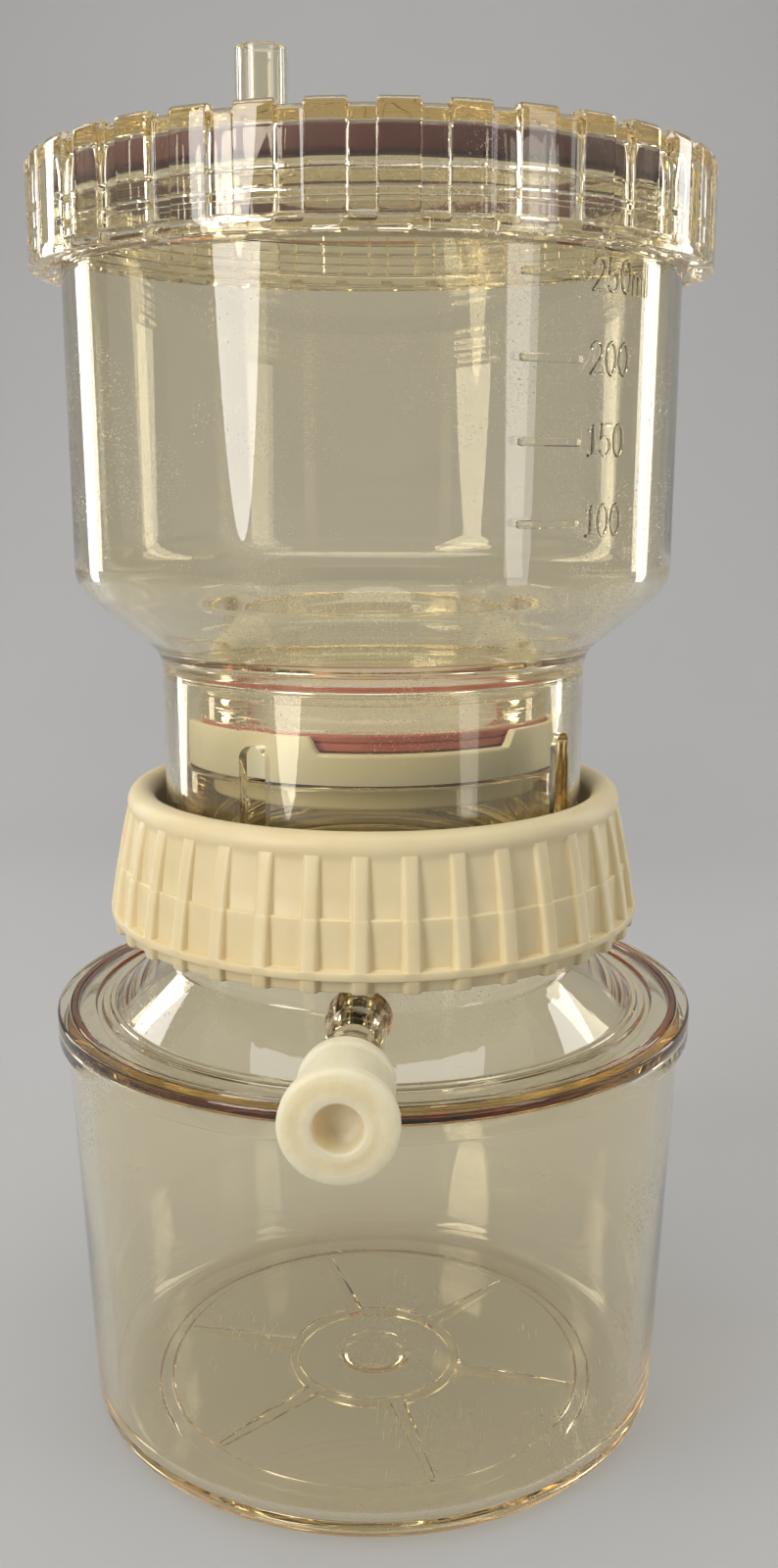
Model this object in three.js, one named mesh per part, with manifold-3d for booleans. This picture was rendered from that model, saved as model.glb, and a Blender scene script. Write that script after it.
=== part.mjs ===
// A reusable laboratory vacuum filtration unit: an upper chamber with a screw lid, a filter stack on a
// drilled support plate, a ribbed lock collar and a receiver jar with a side port.
// Millimetres, +Z up, the foot at z = 0. Azimuths are measured from -Y, where the side port points,
// towards +X.
import * as THREE from "three";
import { mergeVertices } from "three/addons/utils/BufferGeometryUtils.js";
import Module from "manifold-3d";

const wasm = await Module();
wasm.setup();

// ---- Clearances ----
const SEAL_GAP = 0.1; // between a seal and the face that presses it
const SEAT_GAP = 0.3; // between two hard pieces that seat on each other
const LOOSE_GAP = 0.4; // radially, where one piece drops into another

// ---- Receiver jar ----
const JAR_HEIGHT = 64.0;
const JAR_FOOT_RADIUS = 43.5; // the outer wall carried down to the table
const JAR_DRAFT = 0.041; // growth of the radius for each mm of height
const JAR_WALL = 2.2;
const JAR_FLOOR = 1.9;
const JAR_FOOT_FILLET = 4.4;
const FLANGE_STEP = 1.35; // how far the flange stands out of the wall
const FLANGE_HEIGHT = 4.25;
const FLANGE_LIP = 2.0; // radial width of the lip that locates the cover
const FLANGE_RECESS = 2.2; // depth of the seat inside the lip
const FOOT_RING_INNER = 34.5;
const FOOT_RECESS = 0.8; // height of the floor's underside over the table, at the foot ring
const FLOOR_DOME = 0.9; // further rise of the floor at its centre
const SPOKE_COUNT = 6;
const SPOKE_AZIMUTH = 18.4;
const SPOKE_END = 31.5;
const SPOKE_ROOT_WIDTH = 2.4;
const SPOKE_TIP_WIDTH = 0.9;
const RIB_STANDOFF = 0.45; // the ribs' lower edge over the table
const RING_RIB_RADIUS = 13.5;
const RING_RIB_WIDTH = 1.4;
const NUB_RADIUS = 5.8;

// ---- Receiver cover, bonded into the jar's flange ----
const COVER_RIM_THICKNESS = 2.4;
const COVER_WALL = 2.4;
const COVER_GROOVE_INSET = 3.3; // from the cover's edge
const COVER_GROOVE_WIDTH = 1.0;
const COVER_GROOVE_DEPTH = 0.6;
const SHOULDER_RUN = 7.6; // radially, from the boss to the shoulder's foot
const SHOULDER_RISE = 6.9;
const BOSS_STEP = 3.5; // radially, from the neck tube to the boss that the collar screws onto
const BOSS_HEIGHT = 14.1;
const NECK_LAND = 0.8; // the neck's edge outside the plate's
const NECK_WALL = 3.0;
const NECK_RISE = 15.35; // the neck tube over the boss
const PORT_RADIUS = 3.5;
const PORT_WALL = 0.75;
const PORT_ROOT_STEP = 0.4; // the root's extra radius
const PORT_ROOT_GAP = 6.7; // between the end of the root and the cap
const PORT_DROP = 1.0; // the port's axis under the top of the shoulder

// ---- Port cap ----
const CAP_STANDOFF = 4.0; // between the jar's flange and the cap's open end
const CAP_SOCKET_DEPTH = 6.7;
const CAP_SOCKET_GAP = 0.1;
const CAP_WALL = 2.0;
const CAP_WEB = 2.6; // between the socket and the recess in the face
const CAP_DISC_STEP = 1.35; // the face disc outside the body
const CAP_DISC_THICKNESS = 2.6;
const CAP_RECESS_WIDTH = 5.84;
const CAP_RECESS_DEPTH = 4.4;

// ---- Filter stack ----
const MEMBRANE_RADIUS = 23.5; // a 47 mm disc, which the seat, the neck and the skirt follow
const MEMBRANE_THICKNESS = 0.2;
const MEMBRANE_MARGIN = 1.9; // between the membrane and the plate's rim
const PLATE_HEIGHT = 4.15; // rim foot to the face that the membrane lies on
const PLATE_THICKNESS = 2.2;
const PLATE_RIM_WALL = 1.3;
const PLATE_TAB_HEIGHT = 2.3; // rim tabs over that face
const PLATE_NOTCH_COUNT = 3;
const PLATE_NOTCH_AZIMUTH = 16.5;
const PLATE_NOTCH_ANGLE = 60;
const SPIGOT_WALL = 2.6;
const SPIGOT_DEPTH = 3.85; // how far the plate's spigot hangs below its rim
const DRAIN_RADIUS = 1.2;
const DRAIN_PITCH = 8.2;
const DRAIN_RINGS = 2;
const NECK_GASKET_INSET = 0.5; // from the neck's bore and from the plate's edge
const NECK_GASKET_HEIGHT = 1.25;
const FILTER_GASKET_INSET = 0.2; // from the throat's outer edge
const FILTER_GASKET_WIDTH = 4.1;
const FILTER_GASKET_HEIGHT = 2.2;
const FILTER_GASKET_GROOVE = 0.35;

// ---- Upper chamber ----
const CHAMBER_RADIUS = 42.2; // at the foot of the wall
const CHAMBER_FLARE = 0.26; // growth of the wall's radius from its foot to the rim
const CHAMBER_WALL = 1.8;
const CHAMBER_HEIGHT = 67.65; // throat's lower face to the rim
const CHAMBER_WALL_FOOT = 17.95; // throat's lower face to the corner where the cone meets the wall
const CHAMBER_CONE_RISE = 9.7;
const CHAMBER_BEND = 4.5; // fillet between the wall and the cone
const SKIRT_GAP = 1.2; // round the neck tube
const SKIRT_WALL = 1.77;
const THROAT_WALL = 3.4;
const THROAT_HEIGHT = 5.05; // throat's lower face to the web over the neck
const BEAD_STEP = 2.43; // how far the bead stands out of the skirt
const BEAD_HEIGHT = 2.8;
const SLOT_COUNT = 4;
const SLOT_WIDTH = 4.25;
const SLOT_HEIGHT = 20.5;
const SLOT_AZIMUTH = -28;
const BAR_COUNT = 4;
const BAR_SPACING = 9.6; // 50 ml of the chamber
const BAR_TOP_DROP = 11.5; // the highest bar under the rim
const BAR_LENGTH = 9.0;
const BAR_HEIGHT = 1.0;
const BAR_RELIEF = 0.35;
const BAR_AZIMUTH = 33.4;

// ---- Lock collar ----
const COLLAR_SKIRT_GAP = 1.48; // between the skirt and the collar's opening
const COLLAR_BEAD_GAP = 0.5; // between the bead and the collar's bore
const COLLAR_TOP_RISE = 7.8; // collar's top over the step that bears on the bead
const COLLAR_LIP_RADIUS = 2.05; // section of the rolled lip
const COLLAR_PORT_GAP = 2.1;
const COLLAR_FOOT_WALL = 4.3;
const COLLAR_LEDGE_WALL = 3.2; // over the ledge half way down the panels
const COLLAR_TOP_WALL = 2.3; // under the rolled lip
const COLLAR_LEDGE_DROP = 10.9; // collar's top to the ledge
const COLLAR_LEDGE_RELIEF = 0.5;
const COLLAR_BAND_DROP = 17.3; // collar's top to the band
const COLLAR_BAND_HEIGHT = 1.15;
const COLLAR_BAND_RELIEF = 1.2;
const COLLAR_RIB_COUNT = 36;
const COLLAR_RIB_WIDTH = 2.45;
const COLLAR_RIB_EASE = 0.3; // how far the ribs draw in below the band
const COLLAR_RIB_AZIMUTH = 1.0;

// ---- Lid ----
const LID_SKIRT_DEPTH = 11.6; // under the top plate
const LID_PLATE = 1.7;
const LID_THREAD_GAP = 1.64; // between the chamber's rim and the lid's bore, where the threads lie
const LID_WALL = 1.2; // between the grip tabs
const LID_BAND_HEIGHT = 1.8;
const LID_GROOVE_DROP = 0.5; // edge of the plate under its face, between the tabs
const LID_TAB_RISE = 0.45; // the tabs over the plate's face
const LID_TAB_RELIEF = 1.2; // the tabs out of the wall
const LID_TAB_WIDTH = 4.9;
const LID_TAB_ROOT = 1.6; // how far the tabs reach over the plate
const LID_TAB_COUNT = 36;
const LID_TAB_AZIMUTH = 7.26;
const LID_NOTCH_DEPTH = 1.3;
const LID_NOTCH_REACH = 1.1; // radially into the skirt
const LID_NOTCH_START = 0.8; // degrees from a tab's middle to the ramp's start
const LID_NOTCH_END = 4.4; // degrees from a tab's middle to the upright face
const VENT_RADIUS = 3.75;
const VENT_BORE_RADIUS = 2.75;
const VENT_HEIGHT = 18.5; // over the plate
const VENT_X = -15.9;
const VENT_Y = 6.6;
const LID_GASKET_GAP = 0.5; // inside the lid's bore
const LID_GASKET_WIDTH = 6.0;
const LID_GASKET_HEIGHT = 3.3;

// ---- Facets ----
const WALL_FACETS = 40;
const TUBE_FACETS = 20;
const DRAIN_FACETS = 8;
const BEND_CHORDS = 3; // in a fillet of a millimetre or more; a smaller one is a plain chamfer
const SLOT_CHORDS = 6;
const OVERSHOOT = 1; // how far a cutting body runs past what it cuts

// ---- Radii that follow from the membrane, the jar and the chamber ----
const plateRimInner = MEMBRANE_RADIUS + MEMBRANE_MARGIN;
const plateRadius = plateRimInner + PLATE_RIM_WALL;
const neckRadius = plateRadius + NECK_LAND;
const neckBore = neckRadius - NECK_WALL;
const bossRadius = neckRadius + BOSS_STEP;
const throatOuter = plateRimInner - SEAT_GAP;
const throatBore = throatOuter - THROAT_WALL;
const skirtInner = neckRadius + SKIRT_GAP;
const skirtRadius = skirtInner + SKIRT_WALL;
const beadRadius = skirtRadius + BEAD_STEP;
const jarWallRadius = (z) => JAR_FOOT_RADIUS + JAR_DRAFT * z;
const flangeZ = JAR_HEIGHT - FLANGE_HEIGHT;
const flangeRadius = jarWallRadius(flangeZ) + FLANGE_STEP;
const chamberRimRadius = CHAMBER_RADIUS + CHAMBER_FLARE;
const lidBore = chamberRimRadius + LID_THREAD_GAP;
const capRear = flangeRadius + CAP_STANDOFF;
const capFace = capRear + CAP_SOCKET_DEPTH + CAP_WEB + CAP_RECESS_DEPTH;

// ---- Heights that follow from the pieces below ----
const ledgeZ = JAR_HEIGHT - FLANGE_RECESS;
const coverRimZ = ledgeZ + COVER_RIM_THICKNESS;
const shoulderZ = coverRimZ + SHOULDER_RISE;
const bossZ = shoulderZ + BOSS_HEIGHT;
const neckZ = bossZ + NECK_RISE;
const plateFootZ = neckZ + SEAT_GAP;
const plateFaceZ = plateFootZ + PLATE_HEIGHT;
const membraneZ = plateFaceZ + SEAL_GAP / 2;
const filterGasketZ = membraneZ + MEMBRANE_THICKNESS;
const throatZ = filterGasketZ + FILTER_GASKET_HEIGHT + SEAL_GAP;
const skirtFootZ = bossZ + SEAT_GAP;
const chamberRimZ = throatZ + CHAMBER_HEIGHT;
const lidGasketZ = chamberRimZ + SEAL_GAP;
const lidPlateZ = lidGasketZ + LID_GASKET_HEIGHT + SEAL_GAP;
const lidTopZ = lidPlateZ + LID_PLATE;
const portZ = shoulderZ - PORT_DROP;

// ---- Geometry helpers ----

// A three.js geometry as a manifold solid.
function solidFrom(geometry) {
  const bare = geometry.index ? geometry.toNonIndexed() : geometry.clone();
  bare.deleteAttribute("normal");
  bare.deleteAttribute("uv");
  const merged = mergeVertices(bare, 1e-5);
  const index = merged.index.array;
  const triangles = [];
  for (let i = 0; i < index.length; i += 3) {
    const [a, b, c] = [index[i], index[i + 1], index[i + 2]];
    if (a !== b && b !== c && c !== a) triangles.push(a, b, c);
  }
  return new wasm.Manifold(
    new wasm.Mesh({
      numProp: 3,
      vertProperties: merged.attributes.position.array,
      triVerts: new Uint32Array(triangles),
    }),
  );
}

function meshFrom(name, solid, material) {
  const made = solid.getMesh();
  const geometry = new THREE.BufferGeometry();
  geometry.setAttribute("position", new THREE.BufferAttribute(made.vertProperties, made.numProp));
  geometry.setIndex(new THREE.BufferAttribute(made.triVerts, 1));
  geometry.computeVertexNormals();
  const mesh = new THREE.Mesh(geometry, material);
  mesh.name = name;
  return mesh;
}

// An outline from corners [x, y, fillet radius]; a fillet never takes more than half of the edges
// beside it.
function outline(corners) {
  const at = (i) => new THREE.Vector2(...corners[(i + corners.length) % corners.length]);
  return corners.flatMap(([, , radius = 0], i) => {
    const corner = at(i);
    const back = at(i - 1).sub(corner);
    const ahead = at(i + 1).sub(corner);
    const half = Math.abs(back.angleTo(ahead)) / 2;
    const reach = Math.min(radius / Math.tan(half), back.length() / 2, ahead.length() / 2);
    const chords = radius < 1 ? 1 : BEND_CHORDS;
    if (reach < 1e-3) return [corner];
    const start = corner.clone().addScaledVector(back.normalize(), reach);
    const end = corner.clone().addScaledVector(ahead.normalize(), reach);
    const bend = reach * Math.tan(half);
    const centre = back.add(ahead).normalize().multiplyScalar(bend / Math.sin(half)).add(corner);
    const from = start.sub(centre).angle();
    const to = end.sub(centre).angle();
    const turn = Math.atan2(Math.sin(to - from), Math.cos(to - from));
    return Array.from({ length: chords + 1 }, (_, k) => {
      const angle = from + (turn * k) / chords;
      return new THREE.Vector2(Math.cos(angle), Math.sin(angle)).multiplyScalar(bend).add(centre);
    });
  });
}

// A solid of revolution about Z from corners [radius, z, fillet], listed anticlockwise.
function turned(corners, facets = WALL_FACETS) {
  const points = outline(corners);
  const lathe = new THREE.LatheGeometry([...points, points[0]], facets);
  return solidFrom(lathe.rotateX(Math.PI / 2));
}

// A plain ring, from its outer radius inwards.
function ring(outer, width, z, height) {
  return turned([
    [outer - width, z],
    [outer, z],
    [outer, z + height],
    [outer - width, z + height],
  ]);
}

// A cylinder along -Y, from one distance from the Z axis to another.
function rodOutwards(radius, from, to, z) {
  const rod = new THREE.CylinderGeometry(radius, radius, to - from, TUBE_FACETS);
  return solidFrom(rod.translate(0, -(from + to) / 2, z));
}

// An upright cylinder.
function post(radius, z, height, facets = TUBE_FACETS) {
  const cylinder = new THREE.CylinderGeometry(radius, radius, height, facets);
  return solidFrom(cylinder.rotateX(Math.PI / 2).translate(0, 0, z + height / 2));
}

// A plate whose outline [radius, z] stands in a radial plane at -Y, centred on that plane.
function radialPlate(corners, width) {
  const shape = new THREE.Shape(outline(corners));
  const plate = new THREE.ExtrudeGeometry(shape, { depth: width, bevelEnabled: false });
  return solidFrom(plate.translate(0, 0, -width / 2).rotateX(Math.PI / 2).rotateZ(-Math.PI / 2));
}

// A block whose outline [sideways, z] is carried outwards along -Y between two radii.
function outwardBlock(shape, from, to) {
  const settings = { depth: to - from, bevelEnabled: false, curveSegments: SLOT_CHORDS };
  const block = new THREE.ExtrudeGeometry(shape, settings);
  return solidFrom(block.rotateX(Math.PI / 2).translate(0, -from, 0));
}

// A flat plate from an outline in the XY plane.
function flatPlate(points, z, height) {
  const shape = new THREE.Shape(points.map(([x, y]) => new THREE.Vector2(x, y)));
  const plate = new THREE.ExtrudeGeometry(shape, { depth: height, bevelEnabled: false });
  return solidFrom(plate.translate(0, 0, z));
}

// Copies of a solid, turned about Z at even steps from a first azimuth.
function around(solid, count, azimuth) {
  return Array.from({ length: count }, (_, i) => solid.rotate([0, 0, azimuth + (360 * i) / count]));
}

const join = (solids) => solids.reduce((sum, solid) => sum.add(solid));
const cut = (body, tools) => body.subtract(join(tools));

// ---- Receiver jar: drafted wall, stepped flange, ribbed floor on a foot ring ----
function receiverJar() {
  const floorZ = FOOT_RECESS + JAR_FLOOR;
  const recessEdge = FOOT_RING_INNER - 2.5;
  const shell = turned([
    [0, FOOT_RECESS + FLOOR_DOME],
    [recessEdge, FOOT_RECESS],
    [FOOT_RING_INNER, 0],
    [JAR_FOOT_RADIUS, 0, JAR_FOOT_FILLET],
    [jarWallRadius(flangeZ), flangeZ],
    [flangeRadius, flangeZ, 0.8],
    [flangeRadius, JAR_HEIGHT, 0.8],
    [flangeRadius - FLANGE_LIP, JAR_HEIGHT],
    [flangeRadius - FLANGE_LIP, ledgeZ],
    [jarWallRadius(ledgeZ) - JAR_WALL, ledgeZ],
    [jarWallRadius(floorZ) - JAR_WALL, floorZ, 3.2],
    [0, floorZ + FLOOR_DOME],
  ]);
  const ribHeight = FOOT_RECESS + FLOOR_DOME / 2 + JAR_FLOOR / 2 - RIB_STANDOFF;
  const spoke = flatPlate(
    [
      [-SPOKE_TIP_WIDTH / 2, -SPOKE_END],
      [SPOKE_TIP_WIDTH / 2, -SPOKE_END],
      [SPOKE_ROOT_WIDTH / 2, -RING_RIB_RADIUS + RING_RIB_WIDTH / 2],
      [-SPOKE_ROOT_WIDTH / 2, -RING_RIB_RADIUS + RING_RIB_WIDTH / 2],
    ],
    RIB_STANDOFF,
    ribHeight,
  );
  const ribs = [
    ...around(spoke, SPOKE_COUNT, SPOKE_AZIMUTH),
    ring(RING_RIB_RADIUS, RING_RIB_WIDTH, RIB_STANDOFF, ribHeight),
    post(NUB_RADIUS, RIB_STANDOFF + FLOOR_DOME / 2, ribHeight),
  ];
  return join([shell, ...ribs]);
}

// ---- Receiver cover: grooved rim, conical shoulder, threaded boss, neck tube and side port ----
function receiverTop() {
  const rimRadius = flangeRadius - FLANGE_LIP - SEAT_GAP;
  const shoulderFoot = bossRadius + SHOULDER_RUN;
  const slope = SHOULDER_RISE / SHOULDER_RUN;
  const coneShift = COVER_WALL / Math.sin(Math.atan(slope)); // level distance through the cone's wall
  const boreRadius = bossRadius - COVER_WALL;
  const innerCone = (radius) => coverRimZ + slope * (shoulderFoot - coneShift - radius);
  const coneFoot = shoulderFoot - coneShift + (COVER_RIM_THICKNESS + OVERSHOOT) / slope;
  const grooveOuter = rimRadius - COVER_GROOVE_INSET;
  const grooveInner = grooveOuter - COVER_GROOVE_WIDTH;
  const roofZ = bossZ - COVER_WALL;
  const outer = turned([
    [0, ledgeZ],
    [rimRadius, ledgeZ],
    [rimRadius, coverRimZ, 0.3],
    [grooveOuter, coverRimZ],
    [grooveOuter, coverRimZ - COVER_GROOVE_DEPTH],
    [grooveInner, coverRimZ - COVER_GROOVE_DEPTH],
    [grooveInner, coverRimZ],
    [shoulderFoot, coverRimZ],
    [bossRadius, shoulderZ],
    [bossRadius, bossZ, 0.6],
    [neckRadius, bossZ],
    [neckRadius, neckZ, 0.4],
    [0, neckZ],
  ]);
  const inner = turned([
    [0, ledgeZ - OVERSHOOT],
    [coneFoot, ledgeZ - OVERSHOOT],
    [boreRadius, innerCone(boreRadius)],
    [boreRadius, roofZ - (boreRadius - neckBore) / 2],
    [neckBore, roofZ],
    [neckBore, neckZ + OVERSHOOT],
    [0, neckZ + OVERSHOOT],
  ]);
  const portEnd = capRear + CAP_SOCKET_DEPTH - SEAT_GAP;
  const root = rodOutwards(PORT_RADIUS + PORT_ROOT_STEP, neckBore, capRear - PORT_ROOT_GAP, portZ);
  const port = root.add(rodOutwards(PORT_RADIUS, neckBore, portEnd, portZ));
  const bore = rodOutwards(PORT_RADIUS - PORT_WALL, neckBore, portEnd + OVERSHOOT, portZ);
  return outer.add(port).subtract(inner).subtract(bore);
}

// ---- Port cap: a flanged plug cap, with a blind recess in its face and a socket for the port ----
function portCap() {
  const socket = PORT_RADIUS + CAP_SOCKET_GAP;
  const body = socket + CAP_WALL;
  const discBack = capFace - CAP_DISC_THICKNESS;
  const profile = [
    [0, capRear + CAP_SOCKET_DEPTH],
    [socket, capRear + CAP_SOCKET_DEPTH],
    [socket, capRear],
    [body, capRear, 0.7],
    [body, discBack],
    [body + CAP_DISC_STEP, discBack, 0.8],
    [body + CAP_DISC_STEP, capFace, 0.8],
    [CAP_RECESS_WIDTH / 2, capFace, 0.5],
    [CAP_RECESS_WIDTH / 2, capFace - CAP_RECESS_DEPTH],
    [0, capFace - CAP_RECESS_DEPTH],
  ];
  return turned(profile, TUBE_FACETS).rotate([90, 0, 0]).translate([0, 0, portZ]);
}

// ---- Support plate: drilled disc in a notched rim, with a spigot that drops into the neck ----
function supportPlate() {
  const spigotRadius = neckBore - LOOSE_GAP;
  const discZ = plateFaceZ - PLATE_THICKNESS;
  const grooveZ = neckZ + SEAL_GAP + NECK_GASKET_HEIGHT + SEAL_GAP;
  const spigotZ = plateFootZ - SPIGOT_DEPTH;
  const body = turned([
    [0, discZ],
    [spigotRadius - SPIGOT_WALL, discZ],
    [spigotRadius - SPIGOT_WALL, spigotZ],
    [spigotRadius, spigotZ, 0.5],
    [spigotRadius, grooveZ],
    [plateRadius - SEAT_GAP, grooveZ],
    [plateRadius - SEAT_GAP, plateFootZ],
    [plateRadius, plateFootZ],
    [plateRadius, plateFaceZ + PLATE_TAB_HEIGHT, 0.4],
    [plateRimInner, plateFaceZ + PLATE_TAB_HEIGHT],
    [plateRimInner, plateFaceZ],
    [0, plateFaceZ],
  ]);
  const half = THREE.MathUtils.degToRad(PLATE_NOTCH_ANGLE / 2);
  const side = (radius, angle) => [radius * Math.sin(angle), -radius * Math.cos(angle)];
  const inner = plateRimInner - OVERSHOOT / 2;
  const outer = (plateRadius + OVERSHOOT) / Math.cos(half / 2);
  const notch = flatPlate(
    [
      side(inner, -half),
      side(outer, -half),
      side(outer, 0),
      side(outer, half),
      side(inner, half),
      side(inner, half / 2),
      side(inner, 0),
      side(inner, -half / 2),
    ],
    plateFaceZ + SEAL_GAP,
    PLATE_TAB_HEIGHT + OVERSHOOT,
  );
  const drill = post(DRAIN_RADIUS, discZ - OVERSHOOT, PLATE_THICKNESS + 2 * OVERSHOOT, DRAIN_FACETS);
  const drains = [drill];
  for (let row = 1; row <= DRAIN_RINGS; row += 1)
    drains.push(...around(drill.translate([0, -row * DRAIN_PITCH, 0]), 6 * row, 0));
  return cut(body, [...around(notch, PLATE_NOTCH_COUNT, PLATE_NOTCH_AZIMUTH), ...drains]);
}

// ---- Seals and membrane ----
function neckGasket() {
  const outer = plateRadius - NECK_GASKET_INSET;
  const width = outer - neckBore - NECK_GASKET_INSET;
  return ring(outer, width, neckZ + SEAL_GAP, NECK_GASKET_HEIGHT);
}

const filterMembrane = () => post(MEMBRANE_RADIUS, membraneZ, MEMBRANE_THICKNESS, WALL_FACETS);

// The filter gasket has a shallow groove round the middle of its outer edge.
function filterGasket() {
  const outer = throatOuter - FILTER_GASKET_INSET;
  const inner = outer - FILTER_GASKET_WIDTH;
  const middleZ = filterGasketZ + FILTER_GASKET_HEIGHT / 2;
  const topZ = filterGasketZ + FILTER_GASKET_HEIGHT;
  return turned([
    [inner, filterGasketZ],
    [outer, filterGasketZ],
    [outer, middleZ - FILTER_GASKET_GROOVE / 2],
    [outer - FILTER_GASKET_GROOVE, middleZ],
    [outer, middleZ + FILTER_GASKET_GROOVE / 2],
    [outer, topZ],
    [inner, topZ],
  ]);
}

const lidGasket = () => ring(lidBore - LID_GASKET_GAP, LID_GASKET_WIDTH, lidGasketZ, LID_GASKET_HEIGHT);

// ---- Upper chamber: cup on a cone, with a throat that presses the filter and a slotted skirt ----
function upperChamber() {
  const wallFootZ = throatZ + CHAMBER_WALL_FOOT;
  const coneFootZ = wallFootZ - CHAMBER_CONE_RISE;
  const slope = CHAMBER_CONE_RISE / (CHAMBER_RADIUS - skirtRadius);
  const coneWall = CHAMBER_WALL / Math.cos(Math.atan(slope)); // upright distance through the cone
  const innerCone = (radius) => wallFootZ + coneWall - slope * (CHAMBER_RADIUS - radius);
  const innerFoot = CHAMBER_RADIUS - CHAMBER_WALL;
  const webZ = throatZ + THROAT_HEIGHT;
  const body = turned([
    [throatBore, throatZ],
    [throatOuter, throatZ],
    [throatOuter, webZ],
    [skirtInner, webZ],
    [skirtInner, skirtFootZ],
    [beadRadius, skirtFootZ],
    [beadRadius, skirtFootZ + BEAD_HEIGHT],
    [skirtRadius, skirtFootZ + BEAD_HEIGHT],
    [skirtRadius, coneFootZ, CHAMBER_BEND],
    [CHAMBER_RADIUS, wallFootZ, CHAMBER_BEND],
    [chamberRimRadius, chamberRimZ, 0.4],
    [chamberRimRadius - CHAMBER_WALL, chamberRimZ, 0.4],
    [innerFoot, innerCone(innerFoot), CHAMBER_BEND],
    [throatBore, innerCone(throatBore), 1.2],
  ]);
  const slotShape = new THREE.Shape()
    .moveTo(-SLOT_WIDTH / 2, skirtFootZ - OVERSHOOT)
    .lineTo(SLOT_WIDTH / 2, skirtFootZ - OVERSHOOT)
    .absarc(0, skirtFootZ + SLOT_HEIGHT - SLOT_WIDTH / 2, SLOT_WIDTH / 2, 0, Math.PI, false);
  const slot = outwardBlock(slotShape, skirtInner - OVERSHOOT, beadRadius + OVERSHOOT);
  const bar = new THREE.BoxGeometry(BAR_LENGTH, CHAMBER_WALL, BAR_HEIGHT);
  const bars = Array.from({ length: BAR_COUNT }, (_, i) => {
    const z = chamberRimZ - BAR_TOP_DROP - i * BAR_SPACING;
    const wallRadius = CHAMBER_RADIUS + (CHAMBER_FLARE * (z - wallFootZ)) / (chamberRimZ - wallFootZ);
    const raised = bar.clone().translate(0, CHAMBER_WALL / 2 - BAR_RELIEF - wallRadius, z);
    return solidFrom(raised).rotate([0, 0, BAR_AZIMUTH]);
  });
  return cut(join([body, ...bars]), around(slot, SLOT_COUNT, SLOT_AZIMUTH));
}

// ---- Lock collar: rolled lip, sunk panels with a ledge, and upright ribs down to a band ----
function lockCollar() {
  const stepZ = skirtFootZ + BEAD_HEIGHT + SEAT_GAP;
  const topZ = stepZ + COLLAR_TOP_RISE;
  const footZ = portZ + PORT_RADIUS + PORT_ROOT_STEP + COLLAR_PORT_GAP;
  const openingRadius = skirtRadius + COLLAR_SKIRT_GAP;
  const boreRadius = beadRadius + COLLAR_BEAD_GAP;
  const footRadius = boreRadius + COLLAR_FOOT_WALL;
  const bandRadius = footRadius + COLLAR_BAND_RELIEF;
  const bandZ = topZ - COLLAR_BAND_DROP;
  const ledgeTopZ = topZ - COLLAR_LEDGE_DROP;
  const lipOuter = openingRadius + 2 * COLLAR_LIP_RADIUS;
  const ledgeRadius = boreRadius + COLLAR_LEDGE_WALL;
  const bandFootZ = bandZ - COLLAR_BAND_HEIGHT;
  const body = turned(
    [
      [boreRadius, footZ],
      [footRadius, footZ],
      [footRadius, bandFootZ],
      [bandRadius, bandFootZ],
      [bandRadius, bandZ],
      [footRadius, bandZ],
      [ledgeRadius + COLLAR_LEDGE_RELIEF, ledgeTopZ - COLLAR_LEDGE_RELIEF],
      [ledgeRadius, ledgeTopZ],
      [boreRadius + COLLAR_TOP_WALL, topZ - 1.8 * COLLAR_LIP_RADIUS],
      [lipOuter, topZ - COLLAR_LIP_RADIUS],
      [lipOuter, topZ, COLLAR_LIP_RADIUS],
      [openingRadius, topZ, COLLAR_LIP_RADIUS],
      [openingRadius, stepZ],
      [boreRadius, stepZ],
    ],
    COLLAR_RIB_COUNT,
  ).rotate([0, 0, COLLAR_RIB_AZIMUTH]);
  const ribRoot = boreRadius + COLLAR_TOP_WALL / 4; // the ribs grow out of the wall
  const rib = radialPlate(
    [
      [ribRoot, footZ],
      [bandRadius - COLLAR_RIB_EASE, footZ],
      [bandRadius, bandFootZ],
      [bandRadius, bandZ],
      [lipOuter, topZ - 1.5 * COLLAR_LIP_RADIUS],
      [ribRoot, topZ - 1.5 * COLLAR_LIP_RADIUS],
    ],
    COLLAR_RIB_WIDTH,
  );
  return join([body, ...around(rib, COLLAR_RIB_COUNT, COLLAR_RIB_AZIMUTH)]);
}

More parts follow.
